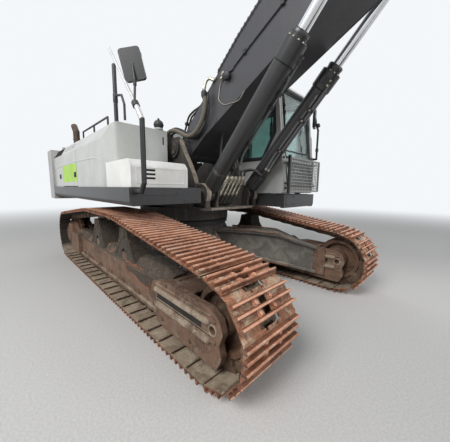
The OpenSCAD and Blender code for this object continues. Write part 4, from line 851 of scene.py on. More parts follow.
def carrier_fill(mesh, crust, side):
    """Thick muddy legs between the plates of each carrier stand, with an open triangle, a near-black block
    of painted shade in it, and a crust.
    """
    middle = side * GAUGE / 2
    for cx in (-CARRIER_X, CARRIER_X):
        for s in (-1, 1):
            leg = [(s * 0.345, 0.530), (s * 0.085, 0.530), (s * 0.055, 0.655), (0.0, 0.690), (0.0, 0.948),
                   (s * 0.115, 0.948), (s * 0.150, 0.800)]
            mesh.plate([(cx + x, z) for x, z in leg[::-s]], middle - 0.136, middle + 0.136)
        # Near-black block in the open triangle: painted shade inside the stand.
        mesh.box((cx - 0.11, middle - 0.120, 0.560), (cx + 0.11, middle + 0.120, 0.700), kind=1)
        for s in (-1, 1):
            mesh.turned((cx, middle + s * 0.130, 0.860), (0, s, 0),
                        [(0, 0.052), (0.014, 0.052), (0.017, 0.044), (0.010, 0.03)], 24)
        for s in (-1, 1):
            for k in range(9):
                x = cx + s * (0.28 - 0.022 * k)
                r = 0.024 + 0.010 * sin(k * 2.1 + cx * 9)
                for y in (-0.132, 0.132):
                    crust.turned((x, middle + y - 0.012, 0.565 + 0.030 * k * 0.9), (0, 1, 0),
                                 [(0, r * 0.5), (0.006, r), (0.018, r), (0.024, r * 0.5)], 9)


def torn_rims(side):
    """Raised plate edges with torn tops beside the pockets: height = share h of a sum of sines over x."""
    rim = Mesh()
    for s in (-1, 1):
        y = side * GAUGE / 2 + s * BEAM_FACE
        for x0, x1, h in ((0.60, 1.12, 0.040), (-1.74, -1.52, 0.026)):
            xs = np.linspace(x0, x1, 40)
            waves = 0.75 + 0.25 * np.sin(xs * 37) + 0.16 * np.sin(xs * 91 + 1)
            top = 0.520 + h * waves * np.clip((xs - x0 + 0.02) / 0.03, 0, 1)
            outline = [(x0, 0.490), (x1, 0.490), *zip(xs[::-1], top[::-1])]
            rim.plate(outline, y - s * 0.004, y + s * 0.005)
    rim.build(f"torn_rims_{'left' if side > 0 else 'right'}", SHOE_RUST, "undercarriage",
              slot="track_frame_paint")


LEG_TURN = radians(35)
LEG_TOPS = [(0.55, 0.8155), (0.90, 0.8155), (1.30, 0.785), (1.50, 0.702)]
LEG_LOWS = [(0.70, 0.4255), (1.20, 0.335), (1.50, 0.285)]
LEG_END = [(1.445, 0.190), (2.185, 0.190), (2.185, 0.560), (1.445, 0.745)]


def body_details():
    """End plates and rusty flange edges of the four legs, tub welds and slew ring bolts."""
    rust, grey = Mesh(), Mesh()
    for sx in (-1, 1):
        for s in (-1, 1):
            rust.plate([(sx * x, z) for x, z in LEG_END[::sx]], s * 0.952, s * 0.9890)
            along = np.array((sx * cos(LEG_TURN), s * sin(LEG_TURN), 0.0))
            across = np.array((-along[1], along[0], 0.0))
            origin = np.array((sx * 0.4, 0, 0))
            for w in (-0.205, 0.205):
                for line in (LEG_TOPS, LEG_LOWS):
                    rust.tube([origin + along * a + across * w + UP * z for a, z in line], 0.0155, 8,
                              smooth=False)
    for a in np.arange(40) * 2 * pi / 40:
        grey.bolt((0.735 * cos(a), 0.735 * sin(a), 0.950), UP, 0.013, 0.012)
    grey.turned((0, 0, 0.9495), UP, [(-0.012, 0.765), (0, 0.768), (0.002, 0.762)], 64)
    for z, r in ((0.893, 0.694), (0.655, 0.6925)):
        weld(grey, [(r * cos(a), r * sin(a), z) for a in np.linspace(0, 2 * pi, 73)], 0.006)
    rust.build("leg_flanges", FRAME_RUST, "undercarriage", bevel=0.003)
    grey.build("tub_details", BODY_PAINT, "undercarriage")


stands, crust = Mesh(), Mesh()
for side in (-1, 1):
    carrier_fill(stands, crust, side)
    torn_rims(side)
stands.build("carrier_stands", STAND_MUD, "undercarriage", bevel=0.012, kinds=(POCKET_SHADE,))
crust.build("stand_mud", STAND_MUD, "undercarriage", angle=80)
body_details()


# House details

HOUSE_W = 1.460
DECK_RIGHT_Z = 1.460
DECK_LEFT_Z = 1.380
ROOF_Z = 2.260
PRESSED_ARCH = np.array([(-2.60, 1.845), (-2.0, 1.87), (-0.94, 1.868), (-0.07, 1.85), (0.10, 1.83),
                         (0.26, 1.79), (0.36, 1.74)])
BEAD = [(0, -0.016), (0.005, -0.010), (0.007, 0), (0.004, 0.010), (0, 0.022), (-0.003, 0.0)]
LIME_LOW = 1.545
LIME_GAP = 0.022


def arch_z(x):
    """Height of the pressed arch in the side panels at x."""
    return float(np.interp(x, PRESSED_ARCH[:, 0], PRESSED_ARCH[:, 1]))


def crease(name, x0, x1, side, body):
    """Rounded bead along the pressed arch: a half-round strip that stands 7 mm proud of the panel."""
    rings = []
    for x in np.linspace(x0, x1, 24):
        ends = 0.35 + 0.65 * min(1, (x - x0) / 0.02, (x1 - x) / 0.02)
        rings.append([(x, side * (HOUSE_W + out * ends - 0.001), arch_z(x) + up) for out, up in BEAD])
    Mesh().loft(rings).build(name, LIGHT_PAINT, body, angle=60)


def bare_panel(name, x0, x1, side, body):
    """Bare lime panel under the pressed arch."""
    xs = np.linspace(x0, x1, 12)
    faces_y = side * (HOUSE_W + 0.0002), side * (HOUSE_W + 0.0016)
    mesh = Mesh()
    for a, b in zip(xs[:-1], xs[1:]):
        for y in faces_y:
            mesh.add([(a, y, LIME_LOW), (b, y, LIME_LOW), (b, y, arch_z(b) - LIME_GAP),
                      (a, y, arch_z(a) - LIME_GAP)], [(0, 1, 2, 3)])
    edge = [(x0, LIME_LOW), (x1, LIME_LOW)] + [(x, arch_z(x) - LIME_GAP) for x in xs[::-1]]
    n = len(edge)
    rim = [(i, (i + 1) % n, n + (i + 1) % n, n + i) for i in range(n)]
    mesh.add([(x, y, z) for y in faces_y for x, z in edge], rim)
    mesh.build(name, LIME_PAINT, body)


def louvres(name, x0, x1, a, b, side):
    """Row of slots on the slope from point a to point b, each given as (across, height). Each slot is a
    near-black slab, painted shade in its opening.
    """
    mesh = Mesh()
    a, b = np.array(a), np.array(b)
    count = max(6, int((x1 - x0) / 0.05))
    pitch = (x1 - x0) / count
    normal = unit((b[1] - a[1], -(b[0] - a[0])))
    for i in range(count):
        x = x0 + pitch * (i + 0.18)
        q = [a + normal * 0.0012, b + normal * 0.0012, b - normal * 0.002, a - normal * 0.002]
        mesh.loft([[(u, side * p[0], p[1]) for p in q] for u in (x, x + pitch * 0.64)])
    mesh.build(name, HOLE_SHADE, "house")


def latch(name, x, z, side, body):
    """Flush pull latch: frame, a near-black plate as painted shade of its recess, and handle."""
    y = side * HOUSE_W
    mesh = Mesh()
    for lo, hi, out, kind in ((0.075, 0.045, 0.004, 1), (0.062, 0.033, 0.0048, 2)):
        mesh.box((x - lo, y, z - hi), (x + lo, y + side * out, z + hi), kind=kind)
    mesh.box((x - 0.05, y, z - 0.002), (x + 0.02, y + side * 0.010, z + 0.024), kind=1)
    mesh.build(name, LIGHT_PAINT, body, bevel=0.0015, slot="black_plastic",
               kinds=(BLACK_PLASTIC, HOLE_SHADE))


def house_details():
    """Beads of the pressed arch, the lime panel, air slots and latches."""
    for name, x0, x1, side, body in (("crease_pump", -2.055, -0.972, -1, "pump_door"),
                                     ("crease_tank", -0.945, 0.325, -1, "house"),
                                     ("crease_rear_right", -2.94, -2.075, -1, "house"),
                                     ("crease_radiator", -1.548, -0.19, 1, "radiator_door"),
                                     ("crease_rear_left", -2.94, -1.565, 1, "house")):
        crease(name, x0, x1, side, body)
    bare_panel("lime_right", -2.045, -0.975, -1, "pump_door")
    louvres("louvres_rear_right", -2.88, -2.12, (1.455, 2.075), (1.37, 2.222), -1)
    louvres("louvres_rear_left", -2.88, -1.64, (1.455, 2.075), (1.37, 2.222), 1)
    latch("latch_pump", -1.08, 1.66, -1, "pump_door")
    latch("latch_radiator", -0.30, 1.62, 1, "radiator_door")
    latch("latch_rear", -2.30, 1.66, -1, "house")


house_details()


# Work equipment: each piece is made in its body's own frame, X along it and Z away from its belly

BOOM_UP = radians(14.5)
BOOM_LINE = [(-0.03, -0.158, 0.12), (0.47, 0.038, 0.9), (3.0, 0.676, 0.9), (6.8, -0.196, 0.12),
             (7.12, -0.16, 0.12), (7.12, 0.17, 0.12), (6.9, 0.225, 0.2), (3.4, 1.628, 0.8),
             (1.306, 0.857, 0.9), (0.2, 0.345, 0.12), (-0.12, 0.12, 0.06)]
BOOM_HALF = 0.280
CYL_Y = 0.400
CYL_R = 0.100
BOOM_LINE_START = 0.70
TUBE_STEP = 0.042  # between the two steel tubes beside a barrel
RIGHT_TUBES, LEFT_TUBES = -0.75, -2.28  # turn of the tubes round the boom's barrels


def rounded(corners, steps=8):
    """Outline from (x, z, corner radius) points. An arc takes each corner's place: it touches both sides at
    the radius over the tangent of half the corner's angle from the corner."""
    out = []
    for i, (x, z, r) in enumerate(corners):
        p = np.array((x, z))
        a, b = np.array(corners[i - 1][:2]), np.array(corners[(i + 1) % len(corners)][:2])
        u, w = unit(a - p), unit(b - p)
        half = np.arccos(np.clip(u @ w, -1, 1)) / 2
        if r <= 0:
            out.append(p)
            continue
        centre = p + unit(u + w) * r / sin(half)
        start, end = p + u * r / np.tan(half), p + w * r / np.tan(half)
        a0 = atan2(*(start - centre)[::-1])
        sweep = (atan2(*(end - centre)[::-1]) - a0 + 3 * pi) % (2 * pi) - pi
        out += [centre + r * np.array((cos(a0 + sweep * k / steps), sin(a0 + sweep * k / steps)))
                for k in range(steps + 1)]
    return np.array(out)


def moved(move, p):
    """Point p after the 4x4 matrix move."""
    return move[:3, :3] @ np.asarray(p, float) + move[:3, 3]


BOOM_FRAME = frame_at(pin("boom_lift"), (cos(BOOM_UP), 0, sin(BOOM_UP)), UP)
ARM_FRAME = frame_at(pin("arm_turn"), pin("bucket_curl") - pin("arm_turn"), (1, 0, 0))
BOOM_EDGE = rounded(BOOM_LINE)


def boom_top(x):
    """Height of the boom's back at x, in its own frame: the highest place where its outline crosses x."""
    a, b = BOOM_EDGE, np.roll(BOOM_EDGE, -1, axis=0)
    cut = (a[:, 0] - x) * (b[:, 0] - x) < 0
    a, b = a[cut], b[cut]
    return float(np.max(a[:, 1] + (x - a[:, 0]) / (b[:, 0] - a[:, 0]) * (b[:, 1] - a[:, 1])))


def clamp(mesh, at, along, half, height, move):
    """Pipe clamp: a block across the pipes with a cover plate and two bolts."""
    m = move @ frame_at(at, along, UP)
    mesh.box((-0.022, -half, -0.024), (0.022, half, 0.018), m, 1)
    mesh.box((-0.022, -half, 0.0182), (0.022, half, 0.023), m, 2)
    for y in (-half + 0.014, half - 0.014):
        mesh.bolt((0, y, 0.023), UP, 0.007, 0.007, m, 2)
    mesh.box((-0.016, -half * 0.6, -height), (0.016, half * 0.6, -0.0238), m, 2)


def fitting(mesh, at, along, r):
    """Hose end: a crimped sleeve, a swivel nut and its collar."""
    mesh.turned(at, along, [(-0.050, r * 1.15), (-0.045, r * 1.32), (0, r * 1.32), (0.004, r)], 24)
    at = np.asarray(at, float) + unit(along) * 0.004
    mesh.turned(at, along, [(0, r * 1.5), (0.022, r * 1.5), (0.026, r * 1.3)], 6)


def back_slope(x):
    """Direction of the boom's back at x, in its own frame."""
    return 1, 0, (boom_top(x + 0.05) - boom_top(x - 0.05)) / 0.1


def boom_pipes():
    """Steel pipes along the boom's back, their clamps, and the corrugated conduit on the right edge."""
    mesh = Mesh()
    for y in (-0.225, -0.185, -0.02, 0.02, 0.19, 0.23):
        x_end = 3.15 if abs(y) < 0.1 else 6.55
        line = [(x, y, boom_top(x) + 0.040) for x in np.linspace(0.75, 6.55, 44) if x <= x_end]
        mesh.tube(line, 0.014, 12, BOOM_FRAME, smooth=False)
    long_row = (0.9, 1.6, 2.4, 3.15, 3.75, 4.7, 5.6, 6.4)
    for middle, spots in ((-0.205, long_row), (0.0, (0.9, 1.7, 2.5, 3.05)), (0.21, long_row)):
        for x in spots:
            clamp(mesh, (x, middle, boom_top(x) + 0.040), back_slope(x), 0.045, 0.045, BOOM_FRAME)
    edge = [(x, -0.268, boom_top(x) + 0.016) for x in np.linspace(0.92, 6.50, 60)]
    mesh.tube(edge, 0.022, 12, BOOM_FRAME, 1, smooth=False)
    for x in np.arange(0.94, 6.48, 0.055):
        mesh.turned((x, -0.268, boom_top(x) + 0.016), back_slope(x),
                    [(-0.014, 0.0225), (-0.009, 0.0265), (0.009, 0.0265), (0.014, 0.0225)],
                    12, BOOM_FRAME, 1)
    mesh.build("boom_pipes", PIPE_PAINT, "boom", kinds=(BLACK_PLASTIC, ZINC))


def boom_lamp_and_wire():
    """Work lamp on the boom's right side with its wire loop and conduit, and small weld-on brackets."""
    mesh = Mesh()
    side = -BOOM_HALF - 0.001
    mesh.box((1.325, side - 0.016, 2.80), (1.375, side, 2.86))
    mesh.turned((1.345, side - 0.010, 2.815), (0.35, -0.9, -0.1),
                [(0, 0.040), (0.010, 0.052), (0.036, 0.054), (0.056, 0.046), (0.066, 0.026),
                 (0.069, 0.006)], 32)
    mesh.turned((1.285, side - 0.004, 2.862), (-0.2, -1, 0.2), [(0, 0.026), (0.03, 0.026), (0.036, 0.018)],
                20, kind=1)
    mesh.turned((1.262, side - 0.004, 2.815), (-0.2, -1, 0.2), [(0, 0.022), (0.03, 0.022), (0.036, 0.014)],
                6, kind=1)
    wire = [(1.30, 0.012, 2.83), (1.226, 0.010, 2.775), (1.196, 0.008, 2.656), (1.197, 0.008, 2.58),
            (1.281, 0.008, 2.507), (1.406, 0.007, 2.493), (1.538, 0.006, 2.500), (1.62, 0.004, 2.58)]
    mesh.tube([(x, side - out, z) for x, out, z in wire], 0.0042, 8, kind=1, per=8)
    conduit = [(1.37, 2.86), (1.43, 2.87), (1.543, 2.945), (2.3, 3.36), (3.4, 3.98)]
    mesh.tube([(x, side - 0.012, z) for x, z in conduit], 0.009, 10, kind=2, per=10)
    for x, z in ((1.62, 2.99), (2.1, 3.25), (2.7, 3.58), (3.25, 3.895)):
        mesh.box((x - 0.02, side - 0.026, z - 0.022), (x + 0.02, side, z + 0.022))
    for x, z in ((0.93, 2.44), (1.12, 2.33), (1.06, 2.58)):
        m = shift(x, side, z) @ frame_at((0, 0, 0), (cos(0.9), 0, sin(0.9)), UP)
        mesh.box((-0.055, -0.004, -0.005), (0.055, 0.002, 0.005), m, 2)
    mesh.build("boom_lamp", BLACK_PLASTIC, "boom", bevel=0.001, kinds=(ZINC, DARK_PAINT))


HOSE_PATH = [(0.03, 2.32), (0.10, 2.345), (0.22, 2.352), (0.39, 2.30), (0.574, 2.22), (0.72, 2.215),
             (0.833, 2.267), (0.93, 2.36), (0.985, 2.47), (1.005, 2.58), (0.985, 2.675)]
FOOT_PATH = [(0.27, 2.20), (0.321, 2.342), (0.375, 2.45), (0.43, 2.545), (0.55, 2.60), (0.724, 2.640),
             (0.86, 2.735), (0.99, 2.85)]
FOOT_YS = (-0.21, -0.16, 0.17, 0.22)
HOSE_R = 0.015
SLEEVE_Y = -0.362


def hose(mesh, points, r=HOSE_R):
    """Round hose in a smooth curve through the points."""
    mesh.tube(points, r, 14, per=8)


def crossing_hoses():
    """Hoses from the platform to the boom: a thick sleeved one, two beside it and four at the foot."""
    sleeve, plain_hoses = Mesh(), Mesh()
    sleeve.tube([(x, SLEEVE_Y, z) for x, z in HOSE_PATH], 0.031, 20, per=8)
    for y, up in ((-0.318, -0.03), (-0.330, 0.035)):
        hose(plain_hoses, [(x + 0.02, y, z + up) for x, z in HOSE_PATH])
    for y in FOOT_YS:
        hose(plain_hoses, [(x, y, z) for x, z in FOOT_PATH])
    for obj in (sleeve.build("braided_hose", BRAID, None, replaces=["boom_hoses"]),
                plain_hoses.build("boom_foot_hoses", HOSE_RUBBER, None)):
        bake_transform(obj)
    ends, clips = Mesh(), Mesh()
    ends.turned((0.985, SLEEVE_Y, 2.665), (-0.05, 0, 1),
                [(-0.02, 0.034), (0, 0.040), (0.05, 0.040), (0.056, 0.028), (0.07, 0.026)], 24, kind=1)
    ends.tube([(0.982, SLEEVE_Y, 2.72), (0.995, -0.360, 2.79), (1.02, -0.345, 2.855), (1.06, -0.320, 2.868),
               (1.10, -0.300, 2.845), (1.135, -0.285, 2.880)], 0.0195, 16, per=8)
    fitting(ends, (0.984, SLEEVE_Y, 2.755), (0.1, 0, 1), 0.017)
    for y in FOOT_YS:
        fitting(ends, (1.01, y, 2.868), (0.74, 0, 0.67), 0.016)
    ends.build("boom_hose_ends", ZINC, "boom", kinds=(BLACK_PLASTIC,))
    for y in FOOT_YS[::2]:
        clips.turned((0.375, y - 0.022, 2.45), (0, 1, 0), [(0, 0.026), (0.094, 0.026)], 20)
    clips.build("foot_hose_clips", BLACK_PLASTIC, "house")


def across_frame(turn):
    """Directions out of a barrel and across its tubes, in the barrel's own frame."""
    return np.array((0, cos(turn), sin(turn))), np.array((0, -sin(turn), cos(turn)))


def barrel_details(name, body, foot, along, y, r, length, bottom, tube_turn, line_from=None):
    """Cylinder barrel: foot sleeve, gland seams, head bolts, and the tubes beside it with their straps."""
    m = frame_at((foot[0], y, foot[2]), along, UP)
    mesh = Mesh()

    def collar(x, profile, n=48, kind=0):
        """Ring round the barrel at x."""
        mesh.turned((x, 0, 0), (1, 0, 0), profile, n, m, kind)

    collar(bottom, [(0, r + 0.0005), (0.002, r + 0.004), (0.235, r + 0.004), (0.239, r + 0.0005)])
    collar(length - 0.19, [(-0.012, r), (-0.004, r + 0.007), (0.001, r + 0.011)])
    for a in np.arange(10) * pi / 5 + 0.2:
        mesh.bolt((length, (r - 0.012) * cos(a), (r - 0.012) * sin(a)), (1, 0, 0), 0.009, 0.012, m, 1)
    collar(length + 0.040, [(0, r * 0.86), (0.026, r * 0.86), (0.032, r * 0.81)], 40)
    collar(length + 0.070, [(0, r * 0.77), (0.006, r * 0.77), (0.009, r * 0.70)], 40, 3)
    out, side = across_frame(tube_turn)
    gap = r + 0.026
    start = line_from or bottom + 0.30
    for k in (0, 1):
        off = side * (k - 0.5) * TUBE_STEP
        end = length - 0.10 if k else length - 0.27
        places = [(gap + 0.045, start - 0.14), (gap + 0.02, start - 0.04), (gap, start + 0.05),
                  (gap, start + 0.4), (gap, (start + end) / 2), (gap, end - 0.25), (gap, end - 0.06),
                  (gap - 0.008, end - 0.01)]
        line = [out * lift + off + (x, 0, 0) for lift, x in places]
        line.append(out * (r + 0.004) + off * 0.9 + (end + 0.012, 0, 0))
        mesh.tube(line, 0.0135, 12, m, 4)
        mesh.turned(out * (gap + 0.036) + off + (start - 0.115, 0, 0), out * 0.25 - np.array((1, 0, 0)),
                    [(0, 0.018), (0.03, 0.018), (0.032, 0.015)], 6, m, 1)
    for x in (start + 0.16, (start + length) / 2 + 0.02, length - 0.42):
        mesh.box((x - 0.03, -0.02, r - 0.004), (x + 0.03, 0.02, r + 0.004),
                 m @ frame_at((0, 0, 0), (1, 0, 0), out))
        block = m @ frame_at(out * gap + (x, 0, 0), (1, 0, 0), out)
        mesh.box((-0.020, -0.050, -0.024), (0.020, 0.050, 0.016), block, 2)
        mesh.bolt((0, 0, 0.016), UP, 0.008, 0.009, block, 1)
    head = m @ frame_at(out * (r + 0.010) + (length - 0.10, 0, 0), (1, 0, 0), out)
    mesh.box((-0.040, -0.048, -0.02), (0.034, 0.048, 0.022), head)
    for x in (-0.028, 0.022):
        mesh.bolt((x, 0, 0.022), UP, 0.008, 0.009, head, 1)
    collar(start - 0.33, [(-0.012, r), (-0.010, r + 0.004), (0.010, r + 0.004), (0.012, r)], kind=1)
    mesh.build(name, BARREL_PAINT, body, angle=40, kinds=(ZINC, BLACK_PLASTIC, SEAL_RUBBER, LINE_PAINT))


PIN_CAPS = {"house": [("boom_lift", 0.512, 0.088, 3), ("boom_barrels_turn", 0.512, 0.078, 3)],
            "boom": [("arm_turn", 0.314, 0.095, 3), ("arm_barrel_turn", 0.182, 0.066, 2)],
            "arm": [("rocker_turn", 0.256, 0.070, 2), ("bucket_barrel_turn", 0.187, 0.062, 2)],
            "bucket": [("bucket_curl", 0.260, 0.072, 3), ("link_turn", 0.255, 0.068, 2)]}


def pin_caps():
    """Round end plates with bolts on the pins; a cap is (joint, half width, radius, number of bolts)."""
    for body, pins in PIN_CAPS.items():
        mesh = Mesh()
        for joint, half, r, count in pins:
            x, _, z = pin(joint)
            for s in (-1, 1):
                mesh.turned((x, s * half, z), (0, s, 0),
                            [(-0.004, r), (0.010, r), (0.013, r - 0.004), (0.013, r * 0.45),
                             (0.010, r * 0.40)], 40)
                for k in range(count):
                    a = k * 2 * pi / count + 0.9
                    at = (x + r * 0.68 * cos(a), s * (half + 0.013), z + r * 0.68 * sin(a))
                    mesh.bolt(at, (0, s, 0), 0.012, 0.011, kind=1)
        finish = {"house": SWING_PAINT, "bucket": BUCKET_STEEL}.get(body, DARK_PAINT)
        mesh.build(f"pin_caps_{body}", finish, body, slot="wheel_steel", kinds=(CHAIN_STEEL,))


def boom_welds():
    """Beads along the boom's long edges and round its bosses."""
    boom = Mesh()
    for s in (-1, 1):
        y = s * (BOOM_HALF + 0.0005)
        edge = [(x * 0.999 + 0.003, y, z * 0.996) for x, z in BOOM_EDGE]
        weld(boom, edge + edge[:1], 0.0035, BOOM_FRAME)
        for x, z, r in ((2.884, 0.845, 0.132), (7.0, 0.0, 0.187), (0.0, 0.0, 0.153)):
            weld(boom, upright_loop(x, y, z, r, 40), 0.007, BOOM_FRAME)
    boom.build("boom_welds", DARK_PAINT, "boom", angle=80)


boom_pipes()
boom_lamp_and_wire()
crossing_hoses()
CYL_DIR = unit(AXES["boom_rods_slide"])
for barrel_name, barrel_y, turn in (("left_barrel_lines", CYL_Y, LEFT_TUBES),
                                    ("right_barrel_lines", -CYL_Y, RIGHT_TUBES)):
    barrel_details(barrel_name, "boom_barrels", pin("boom_barrels_turn"), CYL_DIR, barrel_y, CYL_R, 1.86,
                   0.154, turn, BOOM_LINE_START)
barrel_details("arm_barrel_lines", "arm_barrel", pin("arm_barrel_turn"), unit(AXES["arm_rod_slide"]), 0.0,
               0.108, 2.42, 0.13, 0.25)
pin_caps()
boom_welds()


# Cab: the outlines are those in the part's source, as (x, z, corner radius)

CAB_IN = 0.525
CAB_OUT = 1.460
CAB_T = 0.050
CAB_MIDDLE = (CAB_IN + CAB_OUT) / 2
RIGHT_WINDOW = [(0.08, 1.93, 0.06), (1.30, 1.93, 0.06), (1.50, 2.28, 0.06), (1.45, 2.86, 0.08),
                (0.08, 2.86, 0.06)]
DOOR_LINE = [(0.24, 1.44, 0.06), (1.25, 1.44, 0.06), (1.44, 2.00, 0.10), (1.40, 2.90, 0.08),
             (0.24, 2.90, 0.06)]
DOOR_HIGH = [(0.32, 1.96, 0.05), (1.33, 1.96, 0.06), (1.375, 2.10, 0.06), (1.34, 2.83, 0.06),
             (0.32, 2.83, 0.05)]
DOOR_LOW = [(0.32, 1.56, 0.04), (1.15, 1.56, 0.06), (1.31, 1.88, 0.06), (0.32, 1.88, 0.04)]
SCREEN_FOOT = (1.700, 1.500)
RAKE = (1.545 - 1.70, 2.88 - 1.50)
SCREEN = frame_at((SCREEN_FOOT[0], 0, SCREEN_FOOT[1]), (0, 1, 0), (RAKE[0], 0, RAKE[1]))
SCREEN_STRETCH = hypot(*RAKE) / RAKE[1]


def on_screen(y, z):
    """Place on the windscreen's plane as (across, up) in its own frame, where up is the height above its
    foot times the pane's length over its height."""
    return y, (z - SCREEN_FOOT[1]) * SCREEN_STRETCH


def screen_x(z):
    """Windscreen's X at height z."""
    return SCREEN_FOOT[0] + RAKE[0] * (z - SCREEN_FOOT[1]) / RAKE[1]


def rectangle(x0, z0, x1, z1, *radii):
    """Outline of a rectangle with one corner radius, or with one for the lower and one for the upper."""
    low, high = radii[0], radii[-1]
    return rounded([(x0, z0, low), (x1, z0, low), (x1, z1, high), (x0, z1, high)])


def band(mesh, outline, inner, outer, y0, y1, move=None):
    """Closed strip beside an outline of (x, z) points, rounded, from inner to outer and from y0 to y1."""
    p = np.asarray(outline, float)
    t = np.roll(p, -1, 0) - np.roll(p, 1, 0)
    n = np.stack([t[:, 1], -t[:, 0]], 1) / np.linalg.norm(t, axis=1)[:, None]
    w = outer - inner
    section = [(inner, y0), (inner, y0 + (y1 - y0) * 0.6), (inner + w * 0.2, y1), (outer - w * 0.2, y1),
               (outer, y0 + (y1 - y0) * 0.6), (outer, y0), (inner, y0)]
    rings = [np.insert(p + n * off, 1, y, axis=1) for off, y in section]
    mesh.loft(rings, move, caps=False)


def cab_seals():
    """Black rubber round every pane and the door, the roof's rain strip, and the door's window panes."""
    mesh = Mesh()
    band(mesh, rounded(RIGHT_WINDOW), -0.012, 0.040, CAB_IN + 0.001, CAB_IN - 0.006)
    band(mesh, rounded(RIGHT_WINDOW), -0.016, 0.002, CAB_IN + 0.006, CAB_IN + 0.024)
    for z0, z1 in ((1.93, 2.90), (1.52, 1.84)):
        outline = rectangle(*on_screen(CAB_IN + 0.09, z0), *on_screen(CAB_OUT - 0.09, z1), 0.03)
        band(mesh, outline, -0.014, 0.024, 0.001, -0.010, SCREEN)
    outline = rectangle(*on_screen(CAB_IN + 0.115, 2.03), *on_screen(CAB_OUT - 0.115, 2.865), 0.07, 0.05)
    band(mesh, outline, -0.006, 0.012, 0.018, 0.010, SCREEN)
    rear = frame_at((-0.15, 0, 0), (0, -1, 0), UP)
    band(mesh, rectangle(-CAB_OUT + 0.11, 2.33, -CAB_IN - 0.11, 2.88, 0.04), -0.012, 0.025, 0.001, -0.008,
         rear)
    mesh.box((1.46, CAB_IN + 0.05, 2.905), (1.546, CAB_OUT - 0.05, 2.930))
    mesh.box((1.7565, 0.517, 1.398), (1.7885, 0.551, 1.934))
    mesh.build("cab_seals", SEAL_RUBBER, "house", angle=50)
    door = Mesh()
    for line in (DOOR_HIGH, DOOR_LOW):
        band(door, rounded(line), -0.012, 0.022, CAB_OUT - 0.001, CAB_OUT + 0.006)
    band(door, rounded(DOOR_LINE), -0.020, -0.004, CAB_OUT - 0.046, CAB_OUT - 0.058)
    door.box((0.80, CAB_OUT - 0.03, 1.965), (0.82, CAB_OUT - 0.012, 2.825))
    door.build("door_seals", SEAL_RUBBER, "cab_door", angle=50)
    panes = Mesh()
    for line in (DOOR_HIGH, DOOR_LOW):
        panes.plate(rounded(line), CAB_OUT - 0.026, CAB_OUT - 0.021)
    panes.build("door_panes", CAB_GLASS, "cab_door")


def wiper():
    """Wiper parked along the right pillar: motor cap, arm with its spring, and a blade in a holder."""
    mesh = Mesh()
    y, z = on_screen(0.600, 2.80)
    mesh.turned((y, -0.004, z), (0, -1, 0), [(0, 0.030), (0.018, 0.030), (0.030, 0.018)], 24, SCREEN)
    mesh.tube([(y, -0.026, z), (y + 0.006, -0.034, z - 0.10), (y + 0.010, -0.030, z - 0.24),
               (y + 0.014, -0.020, z - 0.44)], 0.0065, 10, SCREEN)
    for up, r in ((0.14, 0.014), (0.235, 0.016)):
        mesh.turned((y + 0.008, -0.033, z - up), (0, 0, -1),
                    [(0, r * 0.7), (0.006, r), (0.030, r), (0.036, r * 0.7)], 16, SCREEN)
    blade = ((-0.004, 0.004), (0.004, 0.004), (0.008, 0.020), (-0.008, 0.020))
    mesh.loft([[(y + 0.016 + a, -b, z - up) for a, b in blade] for up in (0.05, 0.2, 0.45, 0.62)], SCREEN)
    mesh.build("wiper", BLACK_PLASTIC, "house", bevel=0.0008)


def cab_outside():
    """Window buttons and handles, hinge caps, grab rail, door handle, and trims round the windscreen."""
    mesh = Mesh()
    button = [(0, 0.017), (0.018, 0.017), (0.026, 0.010)]
    for y, heights in ((0.560, (1.985, 1.915, 1.545, 1.475)), (1.425, (1.545, 1.86))):
        for z in heights:
            mesh.turned((screen_x(z) - 0.004, y, z), (1, 0, 0.11), button, 20)
    for y, z in ((1.160, 2.357), (1.160, 2.10)):
        x = screen_x(z)
        mesh.box((x - 0.040, y - 0.012, z - 0.045), (x - 0.022, y + 0.012, z + 0.045))
    mesh.turned((1.740, 1.430, 2.08), UP, [(0, 0.024), (0.05, 0.024)], 20)
    mesh.turned((1.741, 1.430, 2.47), (-0.2, 0, 1),
                [(0, 0.022), (0.006, 0.030), (0.050, 0.030), (0.056, 0.022)], 20)
    mesh.tube([(1.705, 1.402, 2.545), (1.70, 1.395, 2.58), (1.695, 1.39, 2.61)], 0.021, 14)
    grab_rail = [(1.655, 0.002, 1.58), (1.662, 0.019, 1.60), (1.640, 0.021, 1.85), (1.600, 0.021, 2.30),
                 (1.590, 0.002, 2.32)]
    mesh.tube([(x, CAB_OUT + out, z) for x, out, z in grab_rail], 0.010, 14)
    mesh.build("cab_fittings", BLACK_PLASTIC, "house", angle=45)
    door = Mesh()
    door.box((1.12, CAB_OUT + 0.0005, 1.895), (1.27, CAB_OUT + 0.010, 1.945))
    door.tube([(1.14, CAB_OUT + 0.008, 1.92), (1.15, CAB_OUT + 0.021, 1.92), (1.24, CAB_OUT + 0.021, 1.92),
               (1.25, CAB_OUT + 0.008, 1.92)], 0.009, 12)
    door.turned((1.285, CAB_OUT + 0.0005, 1.92), (0, 1, 0), [(0, 0.014), (0.010, 0.014), (0.012, 0.010)], 20)
    door.build("door_handle", BLACK_PLASTIC, "cab_door", bevel=0.001)
    light = Mesh()
    for y0, y1 in ((CAB_IN + 0.04, CAB_IN + 0.085), (CAB_OUT - 0.085, CAB_OUT - 0.04)):
        light.box((y0, -0.006, 0.045), (y1, 0.001, 1.30), SCREEN)
    light.box((CAB_IN + 0.10, -0.005, 0.365), (CAB_OUT - 0.10, 0.001, 0.405), SCREEN)
    light.box((1.20, CAB_IN - 0.0015, 1.455), (1.30, CAB_IN + 0.001, 1.51))
    light.build("cab_trim", LIGHT_PAINT, "house", bevel=0.004)


